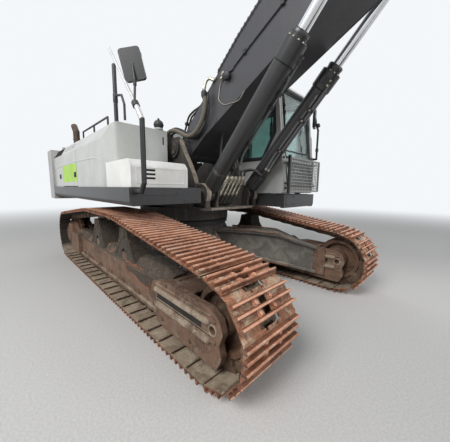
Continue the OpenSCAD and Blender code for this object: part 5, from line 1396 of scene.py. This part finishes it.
def cab_inside_pieces():
    """Linings, mat, console caps, switch panels, monitor screen, levers' boots and pedals."""
    lining = Mesh()
    x0, x1, y0, y1 = -0.097, 1.60, CAB_IN + CAB_T + 0.003, CAB_OUT - CAB_T - 0.003
    lining.box((x0, y0, DECK_LEFT_Z + 0.071), (x1, y1, DECK_LEFT_Z + 0.083))
    lining.box((0.10, y0, 3.030), (1.36, y1, 3.045))
    lining.box((x0, y0, 1.47), (x0 + 0.05, y1, 2.30))
    lining.box((x0 + 0.05, y0, 1.47), (0.20, y1, 1.72))
    lining.box((0.10, y0, 1.47), (1.25, y0 + 0.03, 1.88))
    lining.build("cab_lining", BLACK_PLASTIC, "house", bevel=0.008)
    desk = Mesh()
    for s in (-1, 1):
        m = shift(0.56, CAB_MIDDLE + s * 0.30, DECK_LEFT_Z + 0.07)
        desk.box((-0.17, -0.036, 0.515), (0.30, 0.036, 0.545), m)
        desk.turned((0.235, 0, 0.545), (0.02, 0, 1),
                    [(0, 0.045), (0.02, 0.040), (0.035, 0.030), (0.05, 0.032), (0.07, 0.020),
                     (0.085, 0.021)], 24, m)
        desk.turned((0.262, 0, 0.70), (0.15, 0, 1),
                    [(-0.05, 0.019), (-0.02, 0.030), (0.03, 0.034), (0.06, 0.026), (0.068, 0.008)], 24, m)
        for k in range(4):
            desk.box((-0.12 + k * 0.06, -0.02, 0.545), (-0.08 + k * 0.06, 0.02, 0.552), m, 1)
    for s in (-1, 1):
        pad = frame_at((1.335, CAB_MIDDLE + s * 0.07, DECK_LEFT_Z + 0.50), (0.3, 0, 1), (-1, 0, 0.3))
        desk.box((-0.09, -0.045, -0.008), (0.07, 0.045, 0.010), pad)
    desk.build("cab_desk", BLACK_PLASTIC, "house", bevel=0.004, kinds=(GRILLE_PAINT,))
    screen = Mesh()
    screen.box((1.378, CAB_MIDDLE - 0.395, 2.255), (1.3795, CAB_MIDDLE - 0.255, 2.425))
    screen.build("monitor_glass", DARK_GLASS, "house")


CUSHION_POWER = 4.5
CUSHION_CELLS = 22


def cushion(name, size, at, tilt, channels=()):
    """Padded piece: |x/a|^p + |y/b|^p + |z/c|^p = 1, with a cord round its edge. Along a sewn channel it is
    pressed in by exp(-(distance / width)^2)."""
    n = CUSHION_CELLS
    g = np.tan(np.linspace(-1, 1, n + 1) * pi / 4)
    points, faces = [], []
    for axis in range(3):
        for s in (-1, 1):
            start = len(points)
            for a in g:
                for b in g:
                    d = np.zeros(3)
                    d[axis], d[(axis + 1) % 3], d[(axis + 2) % 3] = s, a, b
                    d /= (np.abs(d) ** CUSHION_POWER).sum() ** (1 / CUSHION_POWER)
                    points.append(d)
            for i in range(n):
                for j in range(n):
                    k = start + i * (n + 1) + j
                    faces.append([k, k + n + 1, k + n + 2, k + 1][::s])
    p = np.array(points)
    p[:, 1] *= 1 - 0.05 * (1 - p[:, 0] ** 2) * (np.abs(p[:, 1]) > 0.9)
    top = np.clip(p[:, 2], 0, 1)
    for c in channels:
        p[:, 2] -= top * 0.14 * np.exp(-((p[:, 0] - c) / 0.045) ** 2)
    for c in (-0.62, 0.62):
        p[:, 2] -= top * 0.10 * np.exp(-((p[:, 1] - c) / 0.05) ** 2)
    p = p * np.array(size) / 2
    m = shift(*at) @ frame_at((0, 0, 0), (cos(tilt), 0, sin(tilt)), (-sin(tilt), 0, cos(tilt)))
    obj = Mesh().add(p, faces, m).build(name, SEAT_CLOTH, None, angle=180)
    weld_seams(obj)
    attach(obj, "house")

    def rim(half, c):
        """Place along one side of the rim: half x 0.985 x sign(c) |c|^0.42."""
        return half * 0.985 * np.sign(c) * abs(c) ** 0.42

    edge = [(rim(size[0] / 2, cos(a)), rim(size[1] / 2, sin(a)), -size[2] * 0.02)
            for a in np.linspace(0, 2 * pi, 61)]
    cord = Mesh().tube([moved(m, q) for q in edge], 0.0045, 8, smooth=False)
    cord.build(f"{name}_piping", SEAL_RUBBER, "house", slot="seat_fabric")


def weld_seams(obj):
    """Joins the doubled points where a form's faces meet."""
    bm = bmesh.new()
    bm.from_mesh(obj.data)
    bmesh.ops.remove_doubles(bm, verts=bm.verts, dist=1e-5)
    bm.to_mesh(obj.data)
    bm.free()


FOLD_H = 0.0367  # one fold of the bellows under the seat
BACK_TILT = pi - 1.40


def driver_seat():
    """Suspension with a bellows, two cushions, a headrest and armrests, in place of the plain solid."""
    z = DECK_LEFT_Z + 0.07
    base = Mesh()
    base.box((0.36, CAB_MIDDLE - 0.20, z), (0.76, CAB_MIDDLE + 0.20, z + 0.06))
    base.box((0.34, CAB_MIDDLE - 0.22, z + 0.28), (0.79, CAB_MIDDLE + 0.22, z + 0.33))
    for k in range(6):
        low = z + 0.06 + k * FOLD_H
        base.loft([[(0.56 + sx * out, CAB_MIDDLE + sy * out, low + up)
                    for sx, sy in ((-1, -1), (1, -1), (1, 1), (-1, 1))]
                   for up, out in ((0, 0.160), (0.018, 0.185), (FOLD_H, 0.160))], caps=False)
    for s in (-1, 1):
        base.tube([(0.36, CAB_MIDDLE + s * 0.262, z + 0.40), (0.33, CAB_MIDDLE + s * 0.264, z + 0.55),
                   (0.30, CAB_MIDDLE + s * 0.262, z + 0.66)], 0.014, 12)
    base.box((0.25, CAB_MIDDLE - 0.21, z + 0.45), (0.30, CAB_MIDDLE + 0.21, z + 0.95))
    for y in (-0.06, 0.06):
        base.rod((0.30, CAB_MIDDLE + y, z + 0.98), (0.29, CAB_MIDDLE + y, z + 1.08), 0.008, 12)
    base.build("seat_base", BLACK_PLASTIC, "house", bevel=0.006, replaces=["operator_seat"])
    cushion("seat_cushion", (0.50, 0.50, 0.14), (0.575, CAB_MIDDLE, z + 0.392), 0.06,
            (-0.35, 0.05, 0.45))
    cushion("seat_back", (0.60, 0.49, 0.12), (0.365, CAB_MIDDLE, z + 0.735), BACK_TILT,
            (-0.5, -0.1, 0.3))
    cushion("seat_headrest", (0.19, 0.27, 0.10), (0.325, CAB_MIDDLE, z + 1.15), BACK_TILT)


cab_seals()
wiper()
cab_outside()
cab_inside_pieces()
driver_seat()


# House and deck fittings

CAP_X, CAP_Y = 0.36, -0.69  # the tank's filler cap
SKIRT_FRONT = 1.2002
CAB_DECK_FRONT = 1.7002


def house_fittings():
    """Near-black slots of painted shade in tank and tool box, filler cap, joints of the mirrors' stays,
    mirror panes and box frame.
    """
    dark, black, panes, trim = Mesh(), Mesh(), Mesh(), Mesh()
    dark.box((0.4425, -0.6845, 2.0605), (0.4495, -0.6655, 2.1695))
    for i in range(3):
        z = DECK_RIGHT_Z + 0.085 + 0.042 * i
        dark.box((1.158, -1.3095, z + 0.0005), (1.169, -1.1905, z + 0.0215))
    dark.build("dark_slots", HOLE_SHADE, "house")
    ball = [(0.069 - 0.069 * cos(a), 0.069 * sin(a)) for a in np.linspace(0.25, pi - 0.05, 16)]
    for up, profile, n in ((0.004, [(0, 0.066), (0.012, 0.068), (0.014, 0.060)], 36),
                           (0.020, [(0, 0.022), *ball], 36),
                           (0.086, [(-0.004, 0.0715), (0.004, 0.0715)], 36),
                           (0.158, [(-0.004, 0.010), (0.004, 0.016), (0.014, 0.016), (0.020, 0.010)], 20)):
        black.turned((CAP_X, CAP_Y, ROOF_Z + up), UP, profile, n)
    black.turned((1.302, -1.43, 2.198), (-0.59, 0, 0.80),
                 [(0, 0.026), (0.008, 0.034), (0.060, 0.034), (0.068, 0.026)], 24)
    black.turned((1.262, -1.4215, 2.40), UP, [(0, 0.016), (0.05, 0.016)], 18)
    black.turned((0.30, -1.25, 2.62), UP,
                 [(-0.10, 0.026), (-0.09, 0.029), (0.0, 0.029), (0.01, 0.026)], 24)
    black.build("house_caps", BLACK_PLASTIC, "house", bevel=0.001)
    outline = rounded([(-0.085, -0.13, 0.02), (0.085, -0.13, 0.02), (0.085, 0.13, 0.02),
                       (-0.085, 0.13, 0.02)], 5)
    for at, azimuth in (((1.210, -1.415, 2.600), 142), ((1.690, 1.385, 2.600), -160)):
        a = radians(azimuth)
        m = shift(*at) @ frame_at((0, 0, 0), (cos(a), sin(a), 0), UP) @ frame_at((0, 0, 0), (0, 1, 0), UP)
        panes.plate(outline, -0.0205, -0.0200, m)
    panes.build("mirror_panes", MIRROR, "house")
    band(trim, rectangle(-1.40, 1.50, -0.83, 1.665, 0.02), -0.004, 0.004, -0.001, -0.0035,
         frame_at((1.170, 0, 0), (0, 1, 0), UP))
    trim.build("box_press", WHITE_PAINT, "house", angle=60)


def deck_fittings():
    """Anti-slip plates with raised dots on both decks, and cover plates with their bolts on the skirts."""
    plates, bolts = Mesh(), Mesh()
    for x0, x1, y0, y1, z in ((-0.10, 0.40, 1.465, 1.488, DECK_LEFT_Z),
                              (0.46, 1.16, -0.76, -0.60, DECK_RIGHT_Z),
                              (0.30, 1.60, 1.466, 1.490, DECK_LEFT_Z)):
        plates.box((x0, y0, z), (x1, y1, z + 0.004))
    for x in np.arange(0.49, 1.15, 0.04):
        for y in np.arange(-0.745, -0.60, 0.035):
            plates.turned((x, y, DECK_RIGHT_Z + 0.004), UP, [(0, 0.008), (0.003, 0.006)], 10)
    plates.box((SKIRT_FRONT, -1.36, 1.375), (SKIRT_FRONT + 0.0033, -0.92, 1.452))
    plates.box((SKIRT_FRONT, -0.86, 1.290), (SKIRT_FRONT + 0.0028, -0.64, 1.452))
    plates.box((CAB_DECK_FRONT, 0.60, 1.215), (CAB_DECK_FRONT + 0.0033, 0.84, 1.365))
    plates.build("deck_plates", SKIRT_PAINT, "house", bevel=0.0015)
    for x, ys, zs, r in ((1.2035, (-1.34, -0.94), (1.39, 1.437), 0.008),
                         (1.203, (-0.84, -0.66), (1.31, 1.43), 0.009),
                         (1.7035, (0.62, 0.82), (1.235, 1.345), 0.009)):
        for y in ys:
            for z in zs:
                bolts.bolt((x, y, z), (1, 0, 0), r, 0.007)
    for x in (0.60, 0.85, 1.05):
        for s in (-1, 1):
            bolts.bolt((x, s * 0.49, 1.20), UP, 0.016, 0.014)
    bolts.build("deck_bolts", SKIRT_PAINT, "house")


HOOD_SIDE = 0.871
RAIL_Y = 0.92
EXHAUST_AT = (-2.50, -1.08)


def hood_fittings():
    """Lift handles and latches of the hood, feet of its rails, exhaust collars and counterweight plugs."""
    hood, rails, weight = Mesh(), Mesh(), Mesh()
    for s in (-1, 1):
        for x in (-2.5, -1.3):
            line = ((-0.09, HOOD_SIDE), (-0.09, 0.905), (0.09, 0.905), (0.09, HOOD_SIDE))
            hood.tube([(x + dx, s * y, 2.47) for dx, y in line], 0.009, 12, per=8)
        hood.box((-1.90, s * 0.869, 2.30), (-1.80, s * 0.884, 2.36))
    hood.build("hood_handles", BLACK_PAINT, "engine_hood", bevel=0.001)
    for s in (-1, 1):
        for x in (-2.6, -1.8, -1.0):
            rails.turned((x, s * RAIL_Y, ROOF_Z), UP,
                         [(0, 0.040), (0.008, 0.040), (0.010, 0.022), (0.03, 0.020)], 24)
            for a in (0.6, 2.2, 3.8, 5.4):
                at = (x + 0.030 * cos(a), s * RAIL_Y + 0.030 * sin(a), ROOF_Z + 0.008)
                rails.bolt(at, UP, 0.005, 0.005)
    for up, profile in ((0.03, [(0, 0.085), (0.02, 0.085), (0.024, 0.066)]),
                        (0.20, [(0, 0.066), (0.002, 0.069), (0.022, 0.069), (0.024, 0.066)])):
        rails.turned((*EXHAUST_AT, ROOF_Z + up), UP, profile, 32, kind=1)
    rails.build("rail_feet", BLACK_PAINT, "house", kinds=(EXHAUST_STEEL,))
    for y in (-0.9, 0.9):
        for x in (-3.12, -3.32):
            weight.turned((x, y, ROOF_Z - 0.001), UP, [(0, 0.055), (0.005, 0.055), (0.006, 0.048)],
                          28, kind=1)
    for s in (-1, 1):
        bead = [(-3.30 + 0.093 * cos(a), s * 1.18 + 0.03 * sin(a), ROOF_Z + 0.002)
                for a in np.linspace(0, 2 * pi, 24)]
        weld(weight, bead, 0.006)
    weight.build("weight_details", WEIGHT_PAINT, "house", kinds=(BLACK_PLASTIC,))


def worn_edges():
    """Worn strips along the edges of the swing frame's brackets, and the right mirror's bare stay."""
    strip, stay = Mesh(), Mesh()
    centre, radius = np.array((1.100, 1.380)), 0.1405
    arc = [centre + radius * np.array((cos(radians(a)), sin(radians(a)))) for a in range(145, -36, -15)]
    line = np.array([(0.625, 2.140), (0.672, 2.047), (0.720, 1.960), (0.792, 1.858), (0.860, 1.760),
                     (0.908, 1.678), (0.950, 1.600), (0.980, 1.524)] + arc)
    steps = np.gradient(line, axis=0)
    normal = np.stack([-steps[:, 1], steps[:, 0]], 1)
    normal /= np.linalg.norm(normal, axis=1)[:, None]
    for s in (-1, 1):
        y0, y1 = sorted((s * 0.4485, s * 0.5135))
        section = ((-0.008, y0), (0.0018, y0), (0.0018, y1), (-0.008, y1))
        strip.loft([[(p[0] + n[0] * out, y, p[1] + n[1] * out) for out, y in section]
                    for p, n in zip(line, normal)])
    strip.box((1.2145, -0.42, 1.1655), (1.2165, 0.42, 1.1985))
    strip.build("worn_edges", WORN_PAINT, "house", bevel=0.001)
    for line, r, n in (([(1.2695, 2.247), (0.930, 2.640), (0.6705, 2.9495)], 0.0143, 16),
                       ([(1.400, 2.071), (1.268, 2.249)], 0.0253, 20)):
        stay.tube([(x, -1.430, z) for x, z in line], r, n, smooth=False)
    stay.build("mirror_stay", BARE_ROD, "house")


worn_edges()
house_fittings()
deck_fittings()
hood_fittings()


# Hoses between the boom cylinders' feet, over the nose and on the arm; the bucket's edges


def spring(mesh, a, b, r, wire, turns):
    """Coil spring from a to b: at share t of its length, the wire is at radius r and angle 2 pi turns t."""
    m = frame_at(a, np.subtract(b, a), (0, 1, 0.2))
    length = float(np.linalg.norm(np.subtract(b, a)))
    t = np.linspace(0, 1, turns * 10 + 1)
    line = np.stack([t * length, r * np.cos(t * turns * 2 * pi), r * np.sin(t * turns * 2 * pi)], 1)
    mesh.tube(line, wire, 6, m, smooth=False)


GUARD_STEP = 0.080
GUARD_FIRST_Y = -0.15
GUARD_FITTINGS = [(0.0, 0.025, 0.020, 24), (0.024, 0.029, 0.030, 6), (0.058, 0.022, 0.014, 24),
                  (0.074, 0.030, 0.026, 6), (0.102, 0.021, 0.020, 24)]  # (lift, radius, height, sides)


def foot_hoses():
    """Five guarded hoses that rise from the platform to the boom's cylinders and belly."""
    guards, fixed = Mesh(), Mesh()
    for k in range(5):
        y = GUARD_FIRST_Y + GUARD_STEP * k
        low, high = np.array((1.115, y - 0.10, 1.275)), np.array((1.190, y - 0.015, 1.520))
        line = [(0.98, y - 0.13, 1.222), (1.05, y - 0.125, 1.224), low, high, high + (0.012, 0.014, 0.05)]
        fixed.tube(line, 0.0165, 12)
        spring(guards, low + (high - low) * 0.34, high, 0.0245, 0.0052, 11)
        up = unit(high - low)
        thick = 1.12 + 0.10 * (k % 2)
        for lift, r, h, sides in GUARD_FITTINGS:
            r *= thick
            guards.turned(high + up * lift, up, [(0, r * 0.9), (0.002, r), (h - 0.002, r), (h, r * 0.9)],
                          sides)
    guards.box((1.17, -0.235, 1.560), (1.20, 0.235, 1.600), kind=1)
    for s in (-1, 1):
        stay = [(1.185, s * 0.225, 1.58), (1.13, s * 0.255, 1.46), (1.10, s * 0.262, 1.22)]
        guards.tube(stay, 0.012, 10, kind=1)
    guards.build("hose_guards", ZINC, "house", angle=40, kinds=(SWING_PAINT,))
    fixed.build("foot_hoses_low", HOSE_RUBBER, "house")
    for name, ks, side, turn in (("right_cylinder_hoses", (0, 1), -1, RIGHT_TUBES),
                                 ("left_cylinder_hoses", (3, 4), 1, LEFT_TUBES)):
        x, _, z = pin("boom_barrels_turn")
        m = frame_at((x, side * CYL_Y, z), CYL_DIR, UP)
        out, across = across_frame(turn)
        mesh = Mesh()
        for i, k in enumerate(ks):
            start = np.array((1.225, GUARD_FIRST_Y + GUARD_STEP * k + 0.035, 1.640))
            off = across * (i - 0.5) * TUBE_STEP
            end = moved(m, out * (CYL_R + 0.062) + off + (BOOM_LINE_START - 0.115, 0, 0))
            back = moved(m, out * (CYL_R + 0.075) + off + (BOOM_LINE_START - 0.24, 0, 0))
            rise, top = start + (0.02, 0.01, 0.07), (start + back) / 2 + (0.03, 0, 0.085)
            hose(mesh, [start, rise, top, back, end])
        obj = mesh.build(name, HOSE_RUBBER, None)
        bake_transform(obj)
    belly = Mesh()
    hose(belly, [(1.225, 0.045, 1.64), (1.24, 0.05, 1.75), (1.20, 0.04, 1.95), (1.16, 0.02, 2.15),
                 (1.24, 0.02, 2.38)])
    hose(belly, [(1.03, -0.05, 1.30), (1.00, -0.06, 1.6), (0.98, -0.05, 1.9), (1.02, -0.05, 2.26)], 0.018)
    obj = belly.build("belly_hoses", HOSE_RUBBER, None)
    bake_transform(obj)


def nose_hoses():
    """Hoses in an arc over the boom's nose, pipes on the arm, and the hoses of both upper cylinders."""
    over, arm, feed, bucket = Mesh(), Mesh(), Mesh(), Mesh()
    for y in (-0.245, -0.212, 0.212, 0.245):
        a = moved(BOOM_FRAME, (6.56, y * 0.9, boom_top(6.56) + 0.040))
        b = moved(BOOM_FRAME, (6.72, y * 0.95, boom_top(6.72) + 0.06))
        arc = [(6.98, 4.20), (7.28, 4.17), (7.52, 3.93), (7.58, 3.60), (7.50, 3.32), (7.40, 3.15)]
        hose(over, [a, b, *((x, y, z) for x, z in arc)])
    obj = over.build("nose_hoses", HOSE_RUBBER, None)
    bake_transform(obj)
    for s in (-1, 1):
        for k, y in enumerate((0.205, 0.238)):
            line = [(0.46 + 0.01 * k, 0.47), (0.56, 0.40), (0.75, 0.28), (1.2, 0.20), (1.85, 0.12),
                    (1.95, 0.10)]
            arm.tube([(x, s * y, z) for x, z in line], 0.011, 12, ARM_FRAME, per=8)
        for x in (0.80, 1.30, 1.80):
            z = float(np.interp(x, [0.75, 1.2, 1.85], [0.28, 0.20, 0.12]))
            arm.box((x - 0.02, s * 0.185, z - 0.018), (x + 0.02, s * 0.256, z + 0.018), ARM_FRAME, 1)
            arm.bolt((x, s * 0.256, z), (0, s, 0), 0.008, 0.008, ARM_FRAME, 2)
    arm.build("arm_pipes", PIPE_PAINT, "arm", kinds=(BLACK_PLASTIC, ZINC))
    barrel = frame_at(pin("arm_barrel_turn"), unit(AXES["arm_rod_slide"]), UP)
    for y in (-0.02, 0.02):
        a = moved(BOOM_FRAME, (3.16, y, boom_top(3.16) + 0.04))
        b = moved(BOOM_FRAME, (3.34, y * 1.4, boom_top(3.3) + 0.13))
        end = moved(barrel, (0.300, 0.118, y))
        line = [a, b, (a + end) / 2 + (-0.10, 0.10, 0.04), moved(barrel, (0.16, 0.20, y)), end]
        feed.tube(line, 0.0145, 14, per=8)
    obj = feed.build("arm_cylinder_hoses", HOSE_RUBBER, None)
    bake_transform(obj)
    m = frame_at(pin("bucket_barrel_turn"), unit(AXES["bucket_rod_slide"]), (1, 0, 0))
    for s in (-1, 1):
        start = moved(ARM_FRAME, (0.30, s * 0.225, 0.46))
        bend, end = moved(m, (0.18, s * 0.02, 0.19)), moved(m, (0.28, s * 0.02, 0.150))
        line = [start, start + (0.05, 0, -0.03), (start + end) / 2 + (0.10, 0, 0.02), bend, end]
        bucket.tube(line, 0.0145, 14, per=8)
    obj = bucket.build("bucket_cylinder_hoses", HOSE_RUBBER, None)
    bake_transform(obj)


BUCKET_W = 1.500
LIP = np.array([(-1.050, -1.270), (-0.360, -0.215)])
TIP = [(-1.186, -1.2985), (-1.04, -1.2995), (-1.01, -1.235), (-1.06, -1.200), (-1.11, -1.232)]
SHANK = [(-1.045, -1.226), (-0.78, -1.222), (-0.76, -1.212), (-0.80, -1.190), (-0.98, -1.172),
         (-1.045, -1.192)]
HEEL = [(-0.75, -1.296, 0.0), (-0.25, -1.296, 0.5), (0.40, -1.19, 0.35), (0.44, -0.95, 0.1),
        (0.36, -0.95, 0.05), (0.33, -1.10, 0.25), (-0.25, -1.22, 0.4), (-0.75, -1.22, 0.0)]
BELLY = [(-1.00, -1.296, 0), (-0.25, -1.300, 0.5), (0.52, -1.18, 0.48), (0.43, -0.56, 0.2)]
STRIP_SECTION = ((-0.045, -0.004), (0.045, -0.004), (0.045, 0.007), (-0.045, 0.007))


def anticlockwise(outline):
    """The outline, or its reverse where its first corner turns clockwise."""
    return outline if np.cross(outline[1] - outline[0], outline[2] - outline[1]) > 0 else outline[::-1]


def bucket_edges():
    """Tooth adapters and tips with their pins, side cutters, heel strips and side wear plates."""
    base = shift(*pin("bucket_curl"))
    worn, body = Mesh(), Mesh()
    half = BUCKET_W / 2
    for i in range(5):
        y = -half + 0.075 + i * (BUCKET_W - 0.150) / 4
        worn.loft([[(x, y + w, z) for x, z in TIP] for w in (-0.046, -0.0600, 0.0600, 0.046)], base)
        body.loft([[(x, y + w, z) for x, z in SHANK] for w in (-0.030, -0.050, 0.050, 0.030)], base)
        body.rod((-1.055, y - 0.068, -1.245), (-1.055, y + 0.068, -1.245), 0.014, 16, base, 1)
    foot = LIP[0]
    d = unit(LIP[1] - foot)
    n = np.array((d[1], -d[0]))
    for s in (-1, 1):
        inner, outer = s * (half + 0.0005), s * (half + 0.020)
        a, b = foot + d * 0.10, foot + d * 0.62
        cutter = [a + n * 0.10, b + n * 0.12, b - n * 0.012, b - n * 0.030 - d * 0.05,
                  a - n * 0.035 + d * 0.02, a - n * 0.020]
        worn.plate(anticlockwise(cutter), inner, outer, base)
        for t in (0.18, 0.32, 0.46, 0.60):
            p = foot + d * t + n * 0.055
            body.bolt((p[0], outer, p[1]), (0, s, 0), 0.020, 0.018, base, 1)
        rim = [foot + d * t + n * w for t, w in ((0.64, 0.0), (1.20, 0.0), (1.20, 0.075), (0.64, 0.10))]
        body.plate(anticlockwise(rim), inner, s * (half + 0.014), base)
        body.plate(rounded(HEEL), inner, s * (half + 0.012), base)
    arc = [p for p in rounded(BELLY, 12) if -0.6 < p[0] and p[1] < -0.72]
    for y in (-0.50, -0.17, 0.17, 0.50):
        rings = []
        for i, p in enumerate(arc):
            t = unit(np.subtract(arc[min(i + 1, len(arc) - 1)], arc[max(i - 1, 0)]))
            rings.append([(p[0] + t[1] * o, y + w, p[1] - t[0] * o) for w, o in STRIP_SECTION])
        body.loft(rings, base)
    worn.build("bucket_teeth", WORN_STEEL, "bucket", bevel=0.004)
    body.build("bucket_strips", BUCKET_STEEL, "bucket", bevel=0.002, kinds=(CHAIN_STEEL,))


foot_hoses()
nose_hoses()
bucket_edges()


# Studio

SKY = (0.90, 0.93, 0.95)
FADE = (7.5, 20)  # distances between which the floor turns into the sky
FLOOR_HALF = 60
WORLD_LIGHT = 0.33
LAMPS = [("key", (3, -9, 9), (0, 0, 1), 6, 1250), ("fill", (12, 2, 7), (1, 0, 1), 7, 640),
         ("back", (-10, 8, 8), (0, 0, 1), 8, 300)]  # name, place, aim, size and power


def seen_directly(n):
    """1 on rays that show the background itself: the camera's, mirrored ones and those through glass."""
    ray = n.make("LightPath")
    return n.math("MAXIMUM", ray.outputs["Is Camera Ray"],
                  n.math("MAXIMUM", ray.outputs["Is Glossy Ray"], ray.outputs["Is Transmission Ray"]))


def studio():
    """Pale floor that fades into the sky, three broad soft lamps and the world's even light."""
    scene = bpy.context.scene
    floor = bpy.data.meshes.new("floor")
    corners = [(sx * FLOOR_HALF, sy * FLOOR_HALF, 0) for sx, sy in ((-1, -1), (1, -1), (1, 1), (-1, 1))]
    floor.from_pydata(corners, [], [(0, 1, 2, 3)])
    obj = bpy.data.objects.new("floor", floor)
    scene.collection.objects.link(obj)
    m = bpy.data.materials.new("studio_floor")
    m.use_nodes = True
    n = Nodes(m.node_tree)
    point = n.make("TexCoord").outputs["Object"]
    tone = n.mix(n.ramp(n.noise(point, 60, 5, 0.7), 0.3, 0.7), (0.50, 0.49, 0.475), (0.60, 0.59, 0.57))
    finish_material(m, colour=tone, rough=0.9)
    distance = n.make("VectorMath", {0: point}, operation="LENGTH").outputs[1]
    fade = n.times(n.ramp(distance, *FADE), seen_directly(n))
    glow = n.make("Emission", {"Color": (*SKY, 1)}).outputs[0]
    shader = m.node_tree.nodes["Principled BSDF"].outputs[0]
    surface = n.make("MixShader", {0: fade, 1: shader, 2: glow}).outputs[0]
    n.join(surface, m.node_tree.nodes["Material Output"].inputs["Surface"])
    floor.materials.append(m)
    world = bpy.data.worlds.new("studio")
    world.use_nodes = True
    n = Nodes(world.node_tree)
    seen = seen_directly(n)
    back = world.node_tree.nodes["Background"]
    n.join(n.mix(seen, (0.80, 0.86, 0.92), SKY), back.inputs["Color"])
    n.join(n.ramp(seen, 0, 1, WORLD_LIGHT, 1.0), back.inputs["Strength"])
    scene.world = world
    for name, at, aim, size, power in LAMPS:
        data = bpy.data.lights.new(name, "AREA")
        data.size = size
        data.energy = power
        lamp = bpy.data.objects.new(name, data)
        lamp.location = Vector(at) + Vector((SWING_X, 0, 0))
        lamp.rotation_euler = (Vector(aim) - Vector(at)).to_track_quat("-Z", "Y").to_euler()
        scene.collection.objects.link(lamp)
    scene.view_settings.view_transform = "Standard"


studio()
